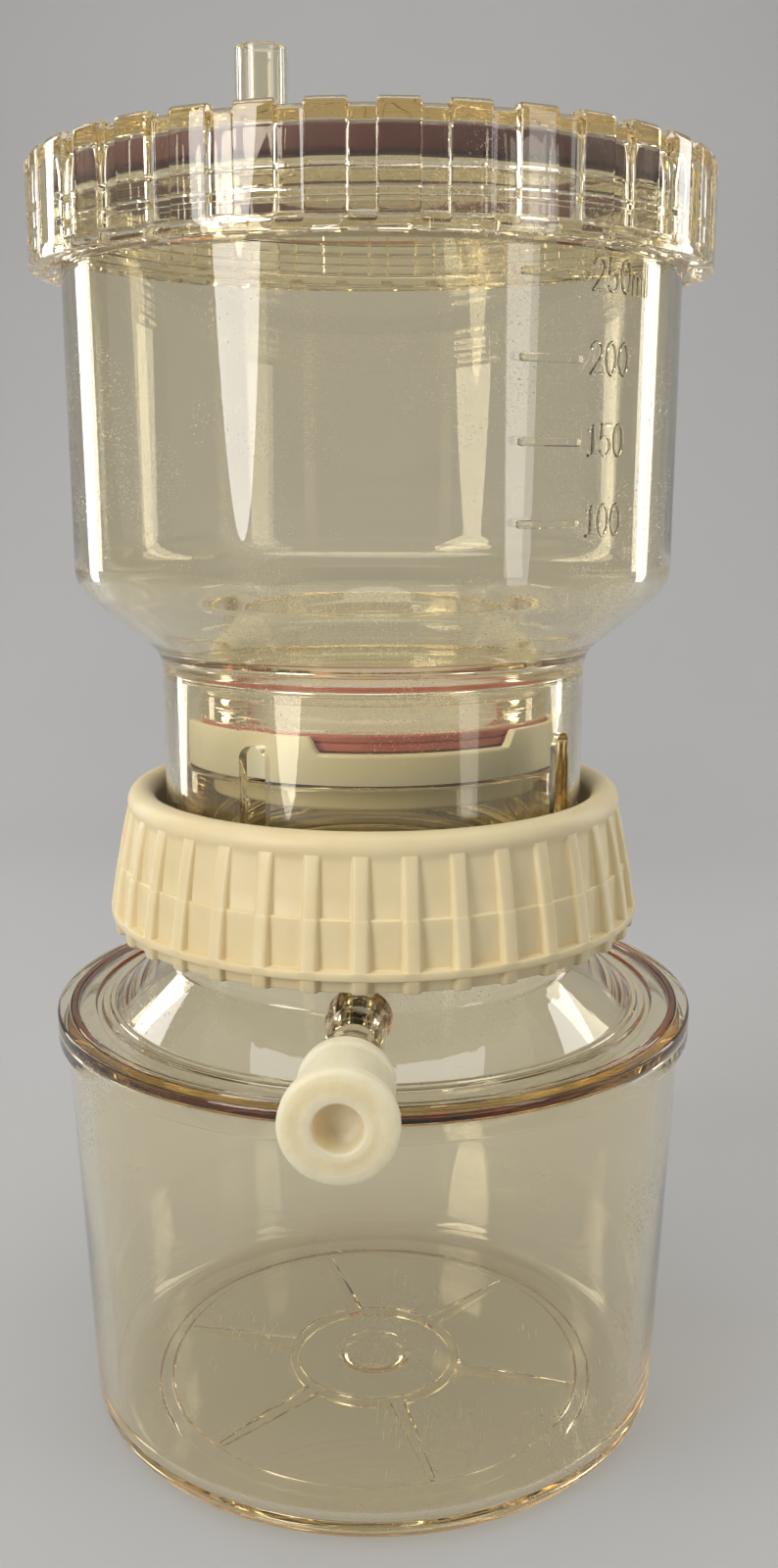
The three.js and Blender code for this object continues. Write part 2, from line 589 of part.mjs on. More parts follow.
// ---- Lid: capped skirt with grip tabs, ramp notches in its lower edge and a vent tube ----
function lidCap() {
  const wallRadius = lidBore + LID_WALL;
  const bandRadius = wallRadius + LID_TAB_RELIEF;
  const footZ = lidPlateZ - LID_SKIRT_DEPTH;
  const bandZ = footZ + LID_BAND_HEIGHT;
  const edgeZ = lidTopZ - LID_GROOVE_DROP;
  const body = turned(
    [
      [0, lidPlateZ],
      [lidBore, lidPlateZ],
      [lidBore, footZ],
      [bandRadius, footZ],
      [bandRadius, bandZ],
      [wallRadius, bandZ],
      [wallRadius, edgeZ],
      [wallRadius - LID_GROOVE_DROP, lidTopZ],
      [0, lidTopZ],
    ],
    LID_TAB_COUNT,
  ).rotate([0, 0, LID_TAB_AZIMUTH]);
  const tabTopZ = lidTopZ + LID_TAB_RISE;
  const tabInner = wallRadius - LID_TAB_ROOT;
  const tab = radialPlate(
    [
      [wallRadius - LID_WALL / 2, bandZ - LID_BAND_HEIGHT / 2],
      [bandRadius, bandZ - LID_BAND_HEIGHT / 2],
      [bandRadius, tabTopZ, 0.9],
      [tabInner, tabTopZ],
      [tabInner, lidTopZ - LID_PLATE / 2],
      [wallRadius - LID_WALL / 2, lidTopZ - LID_PLATE / 2],
    ],
    LID_TAB_WIDTH,
  );
  const sideways = (degrees) => lidBore * Math.tan(THREE.MathUtils.degToRad(degrees));
  const rampTop = (LID_NOTCH_START + LID_NOTCH_END) / 2 - 0.4;
  const notchShape = new THREE.Shape([
    new THREE.Vector2(sideways(LID_NOTCH_START), footZ),
    new THREE.Vector2(sideways(LID_NOTCH_START), footZ - OVERSHOOT),
    new THREE.Vector2(sideways(LID_NOTCH_END), footZ - OVERSHOOT),
    new THREE.Vector2(sideways(LID_NOTCH_END), footZ + LID_NOTCH_DEPTH),
    new THREE.Vector2(sideways(rampTop), footZ + LID_NOTCH_DEPTH),
  ]);
  const notch = outwardBlock(notchShape, lidBore - OVERSHOOT, lidBore + LID_NOTCH_REACH);
  const vent = post(VENT_RADIUS, lidPlateZ, LID_PLATE + VENT_HEIGHT);
  const ventBore = post(VENT_BORE_RADIUS, lidPlateZ - OVERSHOOT, LID_PLATE + VENT_HEIGHT + 2 * OVERSHOOT);
  const solid = join([
    body,
    ...around(tab, LID_TAB_COUNT, LID_TAB_AZIMUTH),
    vent.translate([VENT_X, VENT_Y, 0]),
  ]);
  return cut(solid, [
    ...around(notch, LID_TAB_COUNT, LID_TAB_AZIMUTH),
    ventBore.translate([VENT_X, VENT_Y, 0]),
  ]);
}

// ---- Materials ----
const clearPlastic = () =>
  new THREE.MeshStandardMaterial({
    color: 0xe6d29a,
    roughness: 0.08,
    metalness: 0,
    transparent: true,
    opacity: 0.4,
  });
const mouldedPlastic = (color) => new THREE.MeshStandardMaterial({ color, roughness: 0.4, metalness: 0 });
const rubber = (color) => new THREE.MeshStandardMaterial({ color, roughness: 0.7, metalness: 0 });
const filterSheet = () => new THREE.MeshStandardMaterial({ color: 0xf2ede0, roughness: 0.9 });

// The origin is under the middle of the whole piece, so the jar's axis lies behind it by half of what
// the cap reaches past the flange.
const assembly = new THREE.Group();
assembly.position.y = (capFace - flangeRadius) / 2;
assembly.add(
  meshFrom("receiver_jar", receiverJar(), clearPlastic()),
  meshFrom("receiver_top", receiverTop(), clearPlastic()),
  meshFrom("port_cap", portCap(), mouldedPlastic(0xe8e2cc)),
  meshFrom("support_plate", supportPlate(), mouldedPlastic(0xefe3c0)),
  meshFrom("neck_gasket", neckGasket(), rubber(0xa85a4e)),
  meshFrom("filter_membrane", filterMembrane(), filterSheet()),
  meshFrom("filter_gasket", filterGasket(), rubber(0xa85a4e)),
  meshFrom("upper_chamber", upperChamber(), clearPlastic()),
  meshFrom("lock_collar", lockCollar(), mouldedPlastic(0xefe3c0)),
  meshFrom("lid_gasket", lidGasket(), rubber(0x4a241e)),
  meshFrom("lid", lidCap(), clearPlastic()),
);

export default assembly;
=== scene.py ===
# A reusable laboratory vacuum filtration unit, dressed around its CAD frame in the order in which it is
# put together: jar, cover, filter stack, upper chamber, lock collar, lid and port cap.
# Each section is in millimetres, with heights over the table and radii from the axis of the jar.
import math

import bmesh
import bpy
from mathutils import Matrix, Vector


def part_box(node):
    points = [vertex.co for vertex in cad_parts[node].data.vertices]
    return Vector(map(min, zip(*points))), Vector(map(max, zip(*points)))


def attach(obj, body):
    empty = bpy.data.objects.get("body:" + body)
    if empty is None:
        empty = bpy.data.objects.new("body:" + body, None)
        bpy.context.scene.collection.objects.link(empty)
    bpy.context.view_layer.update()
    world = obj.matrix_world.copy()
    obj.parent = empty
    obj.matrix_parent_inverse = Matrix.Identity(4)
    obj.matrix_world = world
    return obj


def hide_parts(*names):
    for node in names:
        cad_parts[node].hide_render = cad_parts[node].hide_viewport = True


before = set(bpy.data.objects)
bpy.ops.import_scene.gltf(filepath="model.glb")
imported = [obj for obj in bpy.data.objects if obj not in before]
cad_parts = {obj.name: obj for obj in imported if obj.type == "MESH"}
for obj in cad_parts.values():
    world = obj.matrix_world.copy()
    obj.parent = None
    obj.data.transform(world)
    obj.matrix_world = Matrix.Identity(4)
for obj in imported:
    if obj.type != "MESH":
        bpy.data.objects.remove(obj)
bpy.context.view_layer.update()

# ---- Receiver jar ----
# The jar is one clear amber moulding: a drafted wall, a stepped flange that takes the cover, and a thin
# domed floor on a foot ring, stiffened underneath by six tapered spokes, a ring and a nub.
MM = 0.001
JAR_LOW, JAR_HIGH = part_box("receiver_jar")
AXIS_Y = (JAR_LOW.y + JAR_HIGH.y) / 2 / MM
FLANGE_R = (JAR_HIGH.x - JAR_LOW.x) / 2 / MM
JAR_TOP = JAR_HIGH.z / MM
JAR_FOOT_R = 43.5
JAR_DRAFT = 0.041
JAR_WALL = 2.2
JAR_FLOOR = 1.9
FLANGE_FOOT = JAR_TOP - 4.25
LIP_WIDTH = 2.0
LEDGE = JAR_TOP - 2.2
RECESS_R = 34.5
RECESS_EDGE_R = 32.0
RECESS = 0.8
RECESS_STEP = 0.4
DOME = 0.9
RIB_FOOT = 0.42
RING_R = 13.5
RING_WIDTH = 1.4
NUB_R = 5.8
RIB_ROOT = 0.6
SPOKE_START = 13.0
SPOKE_END = 31.5
SPOKE_HALF_WIDTHS = (1.5, 0.6, 0.3)
SPOKE_EDGE = 0.6
SPOKE_COUNT = 6
SPOKE_AZIMUTH = 18.4


def filleted(corners):
    """A closed outline of (radius, height, fillet) corners as points, with its bends as arcs."""
    points = []
    for i, corner in enumerate(corners):
        here = Vector(corner[:2])
        fillet = corner[2] if len(corner) > 2 else 0
        back = Vector(corners[i - 1][:2]) - here
        ahead = Vector(corners[(i + 1) % len(corners)][:2]) - here
        half = back.angle(ahead) / 2
        reach = min(fillet / math.tan(half), back.length * 0.49, ahead.length * 0.49)
        if reach < 0.005:
            points.append(here)
            continue
        radius = reach * math.tan(half)
        centre = here + (back.normalized() + ahead.normalized()).normalized() * radius / math.sin(half)
        start = here + back.normalized() * reach - centre
        end = here + ahead.normalized() * reach - centre
        turn = math.atan2(start.x * end.y - start.y * end.x, start.dot(end))
        chords = max(3, round(abs(turn) * (2.5 + radius)))
        first = math.atan2(start.y, start.x)
        for k in range(chords + 1):
            angle = first + turn * k / chords
            points.append(centre + radius * Vector((math.cos(angle), math.sin(angle))))
    return points


def on_axis(x, y, z):
    """From millimetres about the axis of the jar to the frame's metres."""
    return x * MM, (y + AXIS_Y) * MM, z * MM


def towards(azimuth, reach, across, z):
    """A place some way out from the axis and some way across. Azimuths are in degrees from the front
    towards +X."""
    turn = math.radians(azimuth)
    return on_axis(reach * math.sin(turn) + across * math.cos(turn),
                   across * math.sin(turn) - reach * math.cos(turn), z)


def placed(name, data):
    """Puts an object with these data into the scene."""
    thing = bpy.data.objects.new(name, data)
    bpy.context.scene.collection.objects.link(thing)
    return thing


def mesh_piece(name, vertices, faces):
    """A closed mesh object, with doubled points merged and its faces turned out."""
    mesh = bpy.data.meshes.new(name)
    mesh.from_pydata(vertices, [], faces)
    work = bmesh.new()
    work.from_mesh(mesh)
    bmesh.ops.remove_doubles(work, verts=work.verts, dist=2e-7)
    bmesh.ops.recalc_face_normals(work, faces=work.faces)
    work.to_mesh(mesh)
    work.free()
    return placed(name, mesh)


def turned(name, outline_at, azimuths=288, place=on_axis):
    """A solid of revolution from a closed outline, or from a function that gives one at each azimuth.
    The last azimuth is the first one, a turn on."""
    if isinstance(azimuths, int):
        azimuths = [360 * k / azimuths for k in range(azimuths + 1)]
    rings = [outline_at(azimuth) if callable(outline_at) else outline_at for azimuth in azimuths]
    count = len(rings[0])
    vertices = []
    for azimuth, ring in zip(azimuths, rings):
        angle = math.radians(azimuth)
        vertices += [place(r * math.sin(angle), -r * math.cos(angle), z) for r, z in ring]
    faces = []
    for i in range(len(azimuths) - 1):
        a, b = i * count, (i + 1) * count
        faces += [(a + j, b + j, b + (j + 1) % count, a + (j + 1) % count) for j in range(count)]
    return mesh_piece(name, vertices, faces)


def prism(name, outline, place):
    """A solid between two copies of an outline, whose points (u, v) go through place(u, v, end)."""
    count = len(outline)
    vertices = [place(u, v, end) for end in (0, 1) for u, v in outline]
    faces = [(k, (k + 1) % count, (k + 1) % count + count, k + count) for k in range(count)]
    faces += [tuple(range(count)), tuple(range(count, 2 * count))]
    return mesh_piece(name, vertices, faces)


def combined(body, tools, operation):
    """Joins the tools to the body (UNION) or cuts them from it (DIFFERENCE), and removes them."""
    for tool in tools:
        step = body.modifiers.new("step", "BOOLEAN")
        step.object = tool
        step.operation = operation
        step.solver = "MANIFOLD"
        with bpy.context.temp_override(object=body, active_object=body):
            bpy.ops.object.modifier_apply(modifier=step.name)
        bpy.data.objects.remove(tool)
    return body


def finished(piece, name, material, body, node, edge=30):
    """Names, shades and dresses a piece that stands for a CAD node."""
    piece.name = name
    piece.data.polygons.foreach_set("use_smooth", [True] * len(piece.data.polygons))
    piece.data.set_sharp_from_angle(angle=math.radians(edge))
    piece.data.materials.clear()
    piece.data.materials.append(material)
    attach(piece, body)
    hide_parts(node)
    return piece


def jar_wall_r(z):
    """The drafted wall's outer radius."""
    return JAR_FOOT_R + JAR_DRAFT * z


def floor_under(radius):
    """The underside of the domed floor."""
    return RECESS + DOME * max(0.0, 1 - (radius / RECESS_EDGE_R) ** 2)


floor_top = RECESS + JAR_FLOOR
lip_r = FLANGE_R - LIP_WIDTH
dome_radii = [RECESS_EDGE_R * k / 14 for k in range(15)]
jar_outline = [Vector((r, floor_under(r))) for r in dome_radii]
jar_outline += filleted([
    (RECESS_EDGE_R + 0.1, RECESS, 0.2), (RECESS_EDGE_R + 0.5, RECESS_STEP, 0.2),
    (RECESS_R - 0.4, RECESS_STEP, 0.2), (RECESS_R, 0.0, 0.2), (JAR_FOOT_R, 0.0, 4.4),
    (jar_wall_r(FLANGE_FOOT), FLANGE_FOOT, 0.4), (FLANGE_R, FLANGE_FOOT, 0.4),
    (FLANGE_R, JAR_TOP, 0.45), (lip_r, JAR_TOP, 0.3), (lip_r, LEDGE, 0.15),
    (jar_wall_r(LEDGE) - JAR_WALL, LEDGE, 0.4), (jar_wall_r(floor_top) - JAR_WALL, floor_top, 3.4),
    (RECESS_EDGE_R + 0.1, floor_top),
])
jar_outline += [Vector((r, floor_under(r) + JAR_FLOOR)) for r in reversed(dome_radii)]
jar = turned("jar", jar_outline, 320)


def spoke(azimuth):
    """A tapered rib under the floor, narrower at its lower edge."""
    def place(reach, width, end):
        height = floor_under(reach) + RIB_ROOT if end else RIB_FOOT
        return towards(azimuth, reach, width * (1.0 if end else SPOKE_EDGE), height)
    side = list(zip((SPOKE_START, SPOKE_END - 0.4, SPOKE_END), SPOKE_HALF_WIDTHS))
    return prism("spoke", side + [(reach, -half) for reach, half in reversed(side)], place)


ring_inner = RING_R - RING_WIDTH
ring_rib = turned("ring_rib", filleted([
    (ring_inner, RIB_FOOT, 0.35), (RING_R, RIB_FOOT, 0.35), (RING_R, floor_under(RING_R) + RIB_ROOT),
    (ring_inner, floor_under(RING_R) + RIB_ROOT)]), 160)
nub = turned("nub", [Vector(spot) for spot in (
    (0, 0.55), (2.4, 0.62), (4.0, 0.82), (5.0, 1.08), (NUB_R, 1.5), (NUB_R, 2.4), (0, 2.4))], 96)
combined(jar, [ring_rib, nub], "UNION")
combined(jar, [spoke(SPOKE_AZIMUTH + 360 / SPOKE_COUNT * k) for k in range(SPOKE_COUNT)], "UNION")


def node_in(tree, kind, links=None, **settings):
    """Adds a shader node. links maps its inputs to sockets or plain values."""
    node = tree.nodes.new("ShaderNode" + kind)
    for key, value in settings.items():
        setattr(node, key, value)
    for key, value in (links or {}).items():
        if isinstance(value, bpy.types.NodeSocket):
            tree.links.new(value, node.inputs[key])
        else:
            node.inputs[key].default_value = value
    return node


def new_material(name):
    """A material with its node tree, its Principled shader and a place socket in metres."""
    material = bpy.data.materials.new(name)
    material.use_nodes = True
    tree = material.node_tree
    return material, tree, tree.nodes["Principled BSDF"], node_in(tree, "TexCoord").outputs["Object"]


def noise_at(tree, where, scale, detail, roughness=0.5):
    """An even cloud of noise, from 0 to 1, whose grain is finer at a larger scale."""
    return node_in(tree, "TexNoise", {"Vector": where, "Scale": scale, "Detail": detail,
                                      "Roughness": roughness}).outputs["Fac"]


def embossed(tree, shader, height, strength, distance):
    """Raises the surface by a height socket, with the distance in metres."""
    bump = node_in(tree, "Bump", {"Strength": strength, "Distance": distance, "Height": height})
    tree.links.new(bump.outputs["Normal"], shader.inputs["Normal"])
    return bump


def hairlines(tree, where, turn, offset):
    """Short thin scratches that run one way: noise stretched along a turned axis, cut at a height."""
    turned_to = node_in(tree, "Mapping", {"Vector": where, "Location": (offset, offset, offset),
                                          "Rotation": turn, "Scale": (3800, 170, 3800)})
    streaks = node_in(tree, "TexNoise", {"Vector": turned_to.outputs["Vector"], "Scale": 1.0,
                                         "Detail": 0.0})
    return node_in(tree, "MapRange", {"Value": streaks.outputs["Fac"], "From Min": 0.76,
                                      "From Max": 0.8}).outputs["Result"]


def clear_amber(name, wear=1.0):
    """Clear amber polysulfone: polished and faintly wavy, with a few hairline scratches in worn areas.
    Its colour lies in its depth: a wall is straw, and an edge, seen along its length, deep amber."""
    material, tree, shader, where = new_material(name)
    shader.inputs["Base Color"].default_value = (0.974, 0.93, 0.79, 1)
    shader.inputs["Transmission Weight"].default_value = 1.0
    shader.inputs["IOR"].default_value = 1.6
    rubbed = noise_at(tree, where, 45.0, 2.0, 0.65)
    haze = node_in(tree, "MapRange", {"Value": rubbed, "From Min": 0.5, "From Max": 0.8,
                                      "To Min": 0.006, "To Max": 0.006 + 0.03 * wear})
    first = hairlines(tree, where, (0.4, 0.7, 0.2), 0.0)
    second = hairlines(tree, where, (0.9, -0.5, 1.3), 31.0)
    crossed = node_in(tree, "Math", {0: first, 1: second}, operation="MAXIMUM")
    worn = node_in(tree, "MapRange", {"Value": rubbed, "From Min": 0.62 - 0.06 * wear,
                                      "From Max": 0.7 - 0.06 * wear})
    scratches = node_in(tree, "Math", {0: crossed.outputs[0], 1: worn.outputs["Result"]},
                        operation="MULTIPLY")
    rough = node_in(tree, "Math", {0: scratches.outputs[0], 1: 0.6, 2: haze.outputs["Result"]},
                    operation="MULTIPLY_ADD")
    tree.links.new(rough.outputs[0], shader.inputs["Roughness"])
    embossed(tree, shader, noise_at(tree, where, 26.0, 0.0), 0.05, 0.001)
    tint = node_in(tree, "VolumeAbsorption", {"Color": (0.923, 0.67, 0.0, 1), "Density": 13.0})
    out = tree.nodes["Material Output"]
    tree.links.new(tint.outputs["Volume"], out.inputs["Volume"])
    lamp_ray = node_in(tree, "LightPath").outputs["Is Shadow Ray"]
    through = node_in(tree, "BsdfTransparent", {"Color": (0.985, 0.98, 0.965, 1)})
    mix = node_in(tree, "MixShader", {0: lamp_ray, 1: shader.outputs["BSDF"], 2: through.outputs["BSDF"]})
    tree.links.new(mix.outputs["Shader"], out.inputs["Surface"])
    return material


def bond(piece, bonded_here):
    """Clears the faces where two mouldings are solvent-bonded, so that light crosses the joint unbent.
    bonded_here(radius, z) says which faces, in millimetres."""
    joint = bpy.data.materials.get("bonded_joint")
    if joint is None:
        joint = bpy.data.materials.new("bonded_joint")
        joint.use_nodes = True
        tree = joint.node_tree
        tree.nodes.remove(tree.nodes["Principled BSDF"])
        clear = node_in(tree, "BsdfTransparent")
        tree.links.new(clear.outputs["BSDF"], tree.nodes["Material Output"].inputs["Surface"])
    piece.data.materials.append(joint)
    for face in piece.data.polygons:
        centre = face.center / MM
        if bonded_here(math.hypot(centre.x, centre.y - AXIS_Y), centre.z):
            face.material_index = 1


jar_bore_r = jar_wall_r(LEDGE) - JAR_WALL
finished(jar, "jar_shell", clear_amber("jar_amber"), "receiver", "receiver_jar")
bond(jar, lambda radius, z: (abs(radius - lip_r) < 0.2 and LEDGE + 0.1 < z < JAR_TOP - 0.3)
     or (abs(z - LEDGE) < 0.02 and jar_bore_r + 0.3 < radius < lip_r))

# ---- Receiver cover ----
# The cover is a second clear moulding, bonded into the jar's flange. A grooved rim, a conical shoulder,
# a boss with the collar's coarse thread, a neck tube and the side port are all one piece with it.
BOND_GAP = 0.03
COVER_RIM_R = lip_r - BOND_GAP
COVER_FOOT = LEDGE + BOND_GAP
COVER_TOP = LEDGE + 2.4
COVER_WALL = 2.4
SHOULDER_FOOT_R = 38.6
SHOULDER_TOP = COVER_TOP + 6.9
BOSS_R = 31.0
BOSS_TOP = SHOULDER_TOP + 14.1
NECK_R = 27.5
NECK_BORE_R = 24.5
NECK_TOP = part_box("receiver_top")[1].z / MM
COLLAR_PITCH = 5.0
BOSS_THREAD_FOOT = 76.6
BOSS_THREAD_TOP = 84.4
BOSS_THREAD_DEPTH = 1.55
STEP_GROOVE_R = 41.7
STEP_GROOVE_INNER_R = 40.75
STEP_GROOVE = 0.6
SHOULDER_SEAT = 0.22
PORT_Z = SHOULDER_TOP - 1.0
PORT_END = AXIS_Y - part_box("receiver_top")[0].y / MM
PORT_SHOULDER = PORT_END - 13.1
PORT_ROOT_R = 4.7
PORT_BODY_R = 3.9
PORT_R = 3.5
PORT_BORE_R = 2.75
FLANK = ((0.0, 0.0), (0.18, 0.07), (0.5, 0.5), (0.82, 0.93), (1.0, 1.0))
THREAD_FADE = 0.8


def thread(azimuth, pitch, start, low, high, half_root, half_crest):
    """Rows of a right-hand thread between two heights, as (height, share of its depth). The thread is
    twice half_root wide at its root and twice half_crest at its crest, and its rows climb with it."""
    steps = [(-half_root + (half_root - half_crest) * across, share) for across, share in FLANK]
    steps += [(-off, share) for off, share in reversed(steps)]
    found = []
    for turn in range(math.floor((low - start) / pitch) - 2, math.ceil((high - start) / pitch) + 2):
        for off, share in steps:
            z = min(high, max(low, start + pitch * (turn + azimuth / 360) + off))
            found.append((z, share * min(1.0, (z - low) / THREAD_FADE, (high - z) / THREAD_FADE)))
    return found


def cover_outline(azimuth):
    """Outside of the cover, as a solid to its axis."""
    rim = filleted([
        (0, COVER_FOOT), (jar_bore_r + 0.4, COVER_FOOT), (COVER_RIM_R, COVER_FOOT, 0.15),
        (COVER_RIM_R, JAR_TOP - 0.4), (COVER_RIM_R, COVER_TOP, 0.35),
        (COVER_RIM_R - 0.7, COVER_TOP, 0.1), (COVER_RIM_R - 0.85, COVER_TOP - 0.3, 0.1),
        (COVER_RIM_R - 1.0, COVER_TOP, 0.1), (STEP_GROOVE_R, COVER_TOP, 0.15),
        (STEP_GROOVE_R, COVER_TOP - STEP_GROOVE, 0.2), (STEP_GROOVE_INNER_R, COVER_TOP - STEP_GROOVE, 0.2),
        (STEP_GROOVE_INNER_R, COVER_TOP, 0.15), (SHOULDER_FOOT_R + 1.1, COVER_TOP, 0.1),
        (SHOULDER_FOOT_R + 0.9, COVER_TOP + SHOULDER_SEAT, 0.1),
        (SHOULDER_FOOT_R + 0.3, COVER_TOP + SHOULDER_SEAT, 0.4), (BOSS_R, SHOULDER_TOP, 0.8),
        (BOSS_R, BOSS_THREAD_FOOT)])
    screw = thread(azimuth, COLLAR_PITCH, BOSS_THREAD_FOOT, BOSS_THREAD_FOOT, BOSS_THREAD_TOP,
                   half_root=1.25, half_crest=0.5)
    boss = [Vector((BOSS_R + BOSS_THREAD_DEPTH * share, z)) for z, share in screw]
    neck = filleted([(BOSS_R, BOSS_THREAD_TOP), (BOSS_R, BOSS_TOP, 0.3), (NECK_R, BOSS_TOP, 0.5),
                     (NECK_R, NECK_TOP, 0.5), (0, NECK_TOP)])
    return rim + boss + neck[1:]


def towards_port(x, y, z):
    """Turns a piece made upright so that it points along the port, to the front."""
    return on_axis(x, -z, PORT_Z + y)


cone_slope = (SHOULDER_TOP - COVER_TOP) / (SHOULDER_FOOT_R - BOSS_R)
cone_shift = COVER_WALL / math.sin(math.atan(cone_slope))
cover_bore_r = BOSS_R - COVER_WALL
cone_inner_top = COVER_TOP + cone_slope * (SHOULDER_FOOT_R - cone_shift - cover_bore_r)
cone_inner_foot_r = SHOULDER_FOOT_R - cone_shift + (COVER_TOP - LEDGE + 1) / cone_slope
cover = turned("cover", cover_outline, 320)
port = turned("port", filleted([
    (0, NECK_BORE_R), (PORT_ROOT_R, NECK_BORE_R), (PORT_ROOT_R - 0.3, BOSS_R + 2.6, 2.0),
    (PORT_BODY_R, BOSS_R + 5.2, 2.0), (PORT_BODY_R, PORT_SHOULDER, 0.25),
    (PORT_R, PORT_SHOULDER, 0.2), (PORT_R, PORT_END, 0.3), (0, PORT_END)]), 96, towards_port)
combined(cover, [port], "UNION")
cover_hollow = turned("cover_hollow", filleted([
    (0, LEDGE - 1), (cone_inner_foot_r, LEDGE - 1), (cover_bore_r, cone_inner_top, 1.5),
    (cover_bore_r, BOSS_TOP - COVER_WALL - 1.6, 2.0), (NECK_BORE_R, BOSS_TOP - COVER_WALL, 0.6),
    (NECK_BORE_R, NECK_TOP - 0.3, 0.2), (NECK_BORE_R + 0.4, NECK_TOP + 0.1),
    (NECK_BORE_R + 0.4, NECK_TOP + 1), (0, NECK_TOP + 1)]), 320)
port_bore = turned("port_bore", filleted([
    (0, NECK_BORE_R), (PORT_BORE_R, NECK_BORE_R), (PORT_BORE_R, PORT_END - 0.35, 0.1),
    (PORT_BORE_R + 0.4, PORT_END + 0.05), (PORT_BORE_R + 0.4, PORT_END + 1), (0, PORT_END + 1)]), 96,
    towards_port)
combined(cover, [cover_hollow, port_bore], "DIFFERENCE")
finished(cover, "cover_shell", clear_amber("cover_amber"), "receiver", "receiver_top")
bond(cover, lambda radius, z: (abs(radius - COVER_RIM_R) < 0.1 and COVER_FOOT + 0.1 < z < JAR_TOP - 0.3)
     or (abs(z - COVER_FOOT) < 0.02 and jar_bore_r + 0.3 < radius < COVER_RIM_R))

# ---- Filter stack ----
# A cream polypropylene plate, drilled with 19 drains, drops into the neck on a spigot and seals on a red
# ring. The membrane lies on its face, under a pinkish silicone gasket that the chamber's throat presses.
PLATE_LOW, PLATE_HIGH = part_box("support_plate")
PLATE_R = 26.7
PLATE_SEAT_R = 26.4
PLATE_RIM_INNER_R = 25.4
PLATE_FACE = PLATE_HIGH.z / MM - 2.3
PLATE_TOP = PLATE_HIGH.z / MM
PLATE_FOOT = PLATE_FACE - 4.15
PLATE_UNDERSIDE = PLATE_FACE - 2.2
PLATE_EDGE = 0.35
SPIGOT_R = 24.1
SPIGOT_BORE_R = 21.5
SPIGOT_FOOT = PLATE_LOW.z / MM
NOTCH_COUNT = 3
NOTCH_AZIMUTH = 16.5
NOTCH_HALF = 30.0
NOTCH_SIDE = 1.6
NOTCH_SILL = 0.06
DRAIN_R = 1.2
DRAIN_PITCH = 8.2
NECK_RING_R = 26.2
NECK_RING_INNER_R = 25.0
MEMBRANE_R = 23.5
SEAL_R = 24.9
SEAL_INNER_R = 20.8
SEAL_GROOVE = 0.35


def plate_outline(azimuth):
    """The plate's section, with its rim cut down in the notches."""
    step = 360 / NOTCH_COUNT
    off = abs((azimuth - NOTCH_AZIMUTH + step / 2) % step - step / 2)
    corner = min(1.0, max(0.0, (off - NOTCH_HALF + NOTCH_SIDE) / (2 * NOTCH_SIDE)))
    rise = NOTCH_SILL + (PLATE_TOP - PLATE_FACE - NOTCH_SILL) * corner * corner * (3 - 2 * corner)
    soft = min(PLATE_EDGE, rise / 3)
    rim_top = PLATE_FACE + rise
    body = filleted([
        (0, PLATE_UNDERSIDE), (SPIGOT_BORE_R, PLATE_UNDERSIDE, 0.5), (SPIGOT_BORE_R, SPIGOT_FOOT, 0.3),
        (SPIGOT_R, SPIGOT_FOOT, 0.7), (SPIGOT_R, PLATE_FOOT + 1.2, 0.2),
        (PLATE_SEAT_R, PLATE_FOOT + 1.2, 0.1), (PLATE_SEAT_R, PLATE_FOOT, 0.1), (PLATE_R, PLATE_FOOT, 0.1),
        (PLATE_R, PLATE_FACE - 0.4)])
    rim = [(PLATE_R, rim_top - PLATE_EDGE), (PLATE_R - 0.3 * PLATE_EDGE, rim_top - 0.3 * PLATE_EDGE),
           (PLATE_R - PLATE_EDGE, rim_top), (PLATE_RIM_INNER_R + soft, rim_top),
           (PLATE_RIM_INNER_R + 0.3 * soft, rim_top - 0.3 * soft), (PLATE_RIM_INNER_R, rim_top - soft),
           (PLATE_RIM_INNER_R, PLATE_FACE), (0, PLATE_FACE)]
    return body + [Vector(spot) for spot in rim]


plate = turned("plate", plate_outline, 360)
drains = [(0.0, 0.0)]
for row in (1, 2):
    for k in range(6 * row):
        turn = math.radians(60 / row * k)
        drains.append((row * DRAIN_PITCH * math.sin(turn), -row * DRAIN_PITCH * math.cos(turn)))
for drain_x, drain_y in drains:
    drain = turned("drain", filleted([
        (0, PLATE_FACE - 4), (DRAIN_R + 0.3, PLATE_FACE - 4), (DRAIN_R + 0.3, PLATE_FACE - 2.25),
        (DRAIN_R, PLATE_FACE - 1.9), (DRAIN_R, PLATE_FACE - 0.3), (DRAIN_R + 0.35, PLATE_FACE + 0.05),
        (DRAIN_R + 0.35, PLATE_FACE + 1), (0, PLATE_FACE + 1)]), 40,
        lambda x, y, z, dx=drain_x, dy=drain_y: on_axis(x + dx, y + dy, z))
    combined(plate, [drain], "DIFFERENCE")


def mottled(tree, shader, cloud, low, high, start=0.0, end=1.0):
    """Colours a surface between two tones, as a cloud of noise goes from start to end."""
    tone = node_in(tree, "ValToRGB", {"Fac": cloud})
    for stop, colour, position in zip(tone.color_ramp.elements, (low, high), (start, end)):
        stop.position = position
        stop.color = (*colour, 1)
    tree.links.new(tone.outputs["Color"], shader.inputs["Base Color"])


def roughened(tree, shader, cloud, smooth, rough, start=0.0, end=1.0):
    """Makes a surface smooth to rough, as a cloud of noise goes from start to end."""
    finish = node_in(tree, "MapRange", {"Value": cloud, "From Min": start, "From Max": end,
                                        "To Min": smooth, "To Max": rough})
    tree.links.new(finish.outputs["Result"], shader.inputs["Roughness"])


def let_light_in(shader, ior, share, radius, scale):
    """Lets light in under the surface, as far as the scale in metres."""
    shader.inputs["IOR"].default_value = ior
    shader.inputs["Subsurface Weight"].default_value = share
    shader.inputs["Subsurface Radius"].default_value = radius
    shader.inputs["Subsurface Scale"].default_value = scale


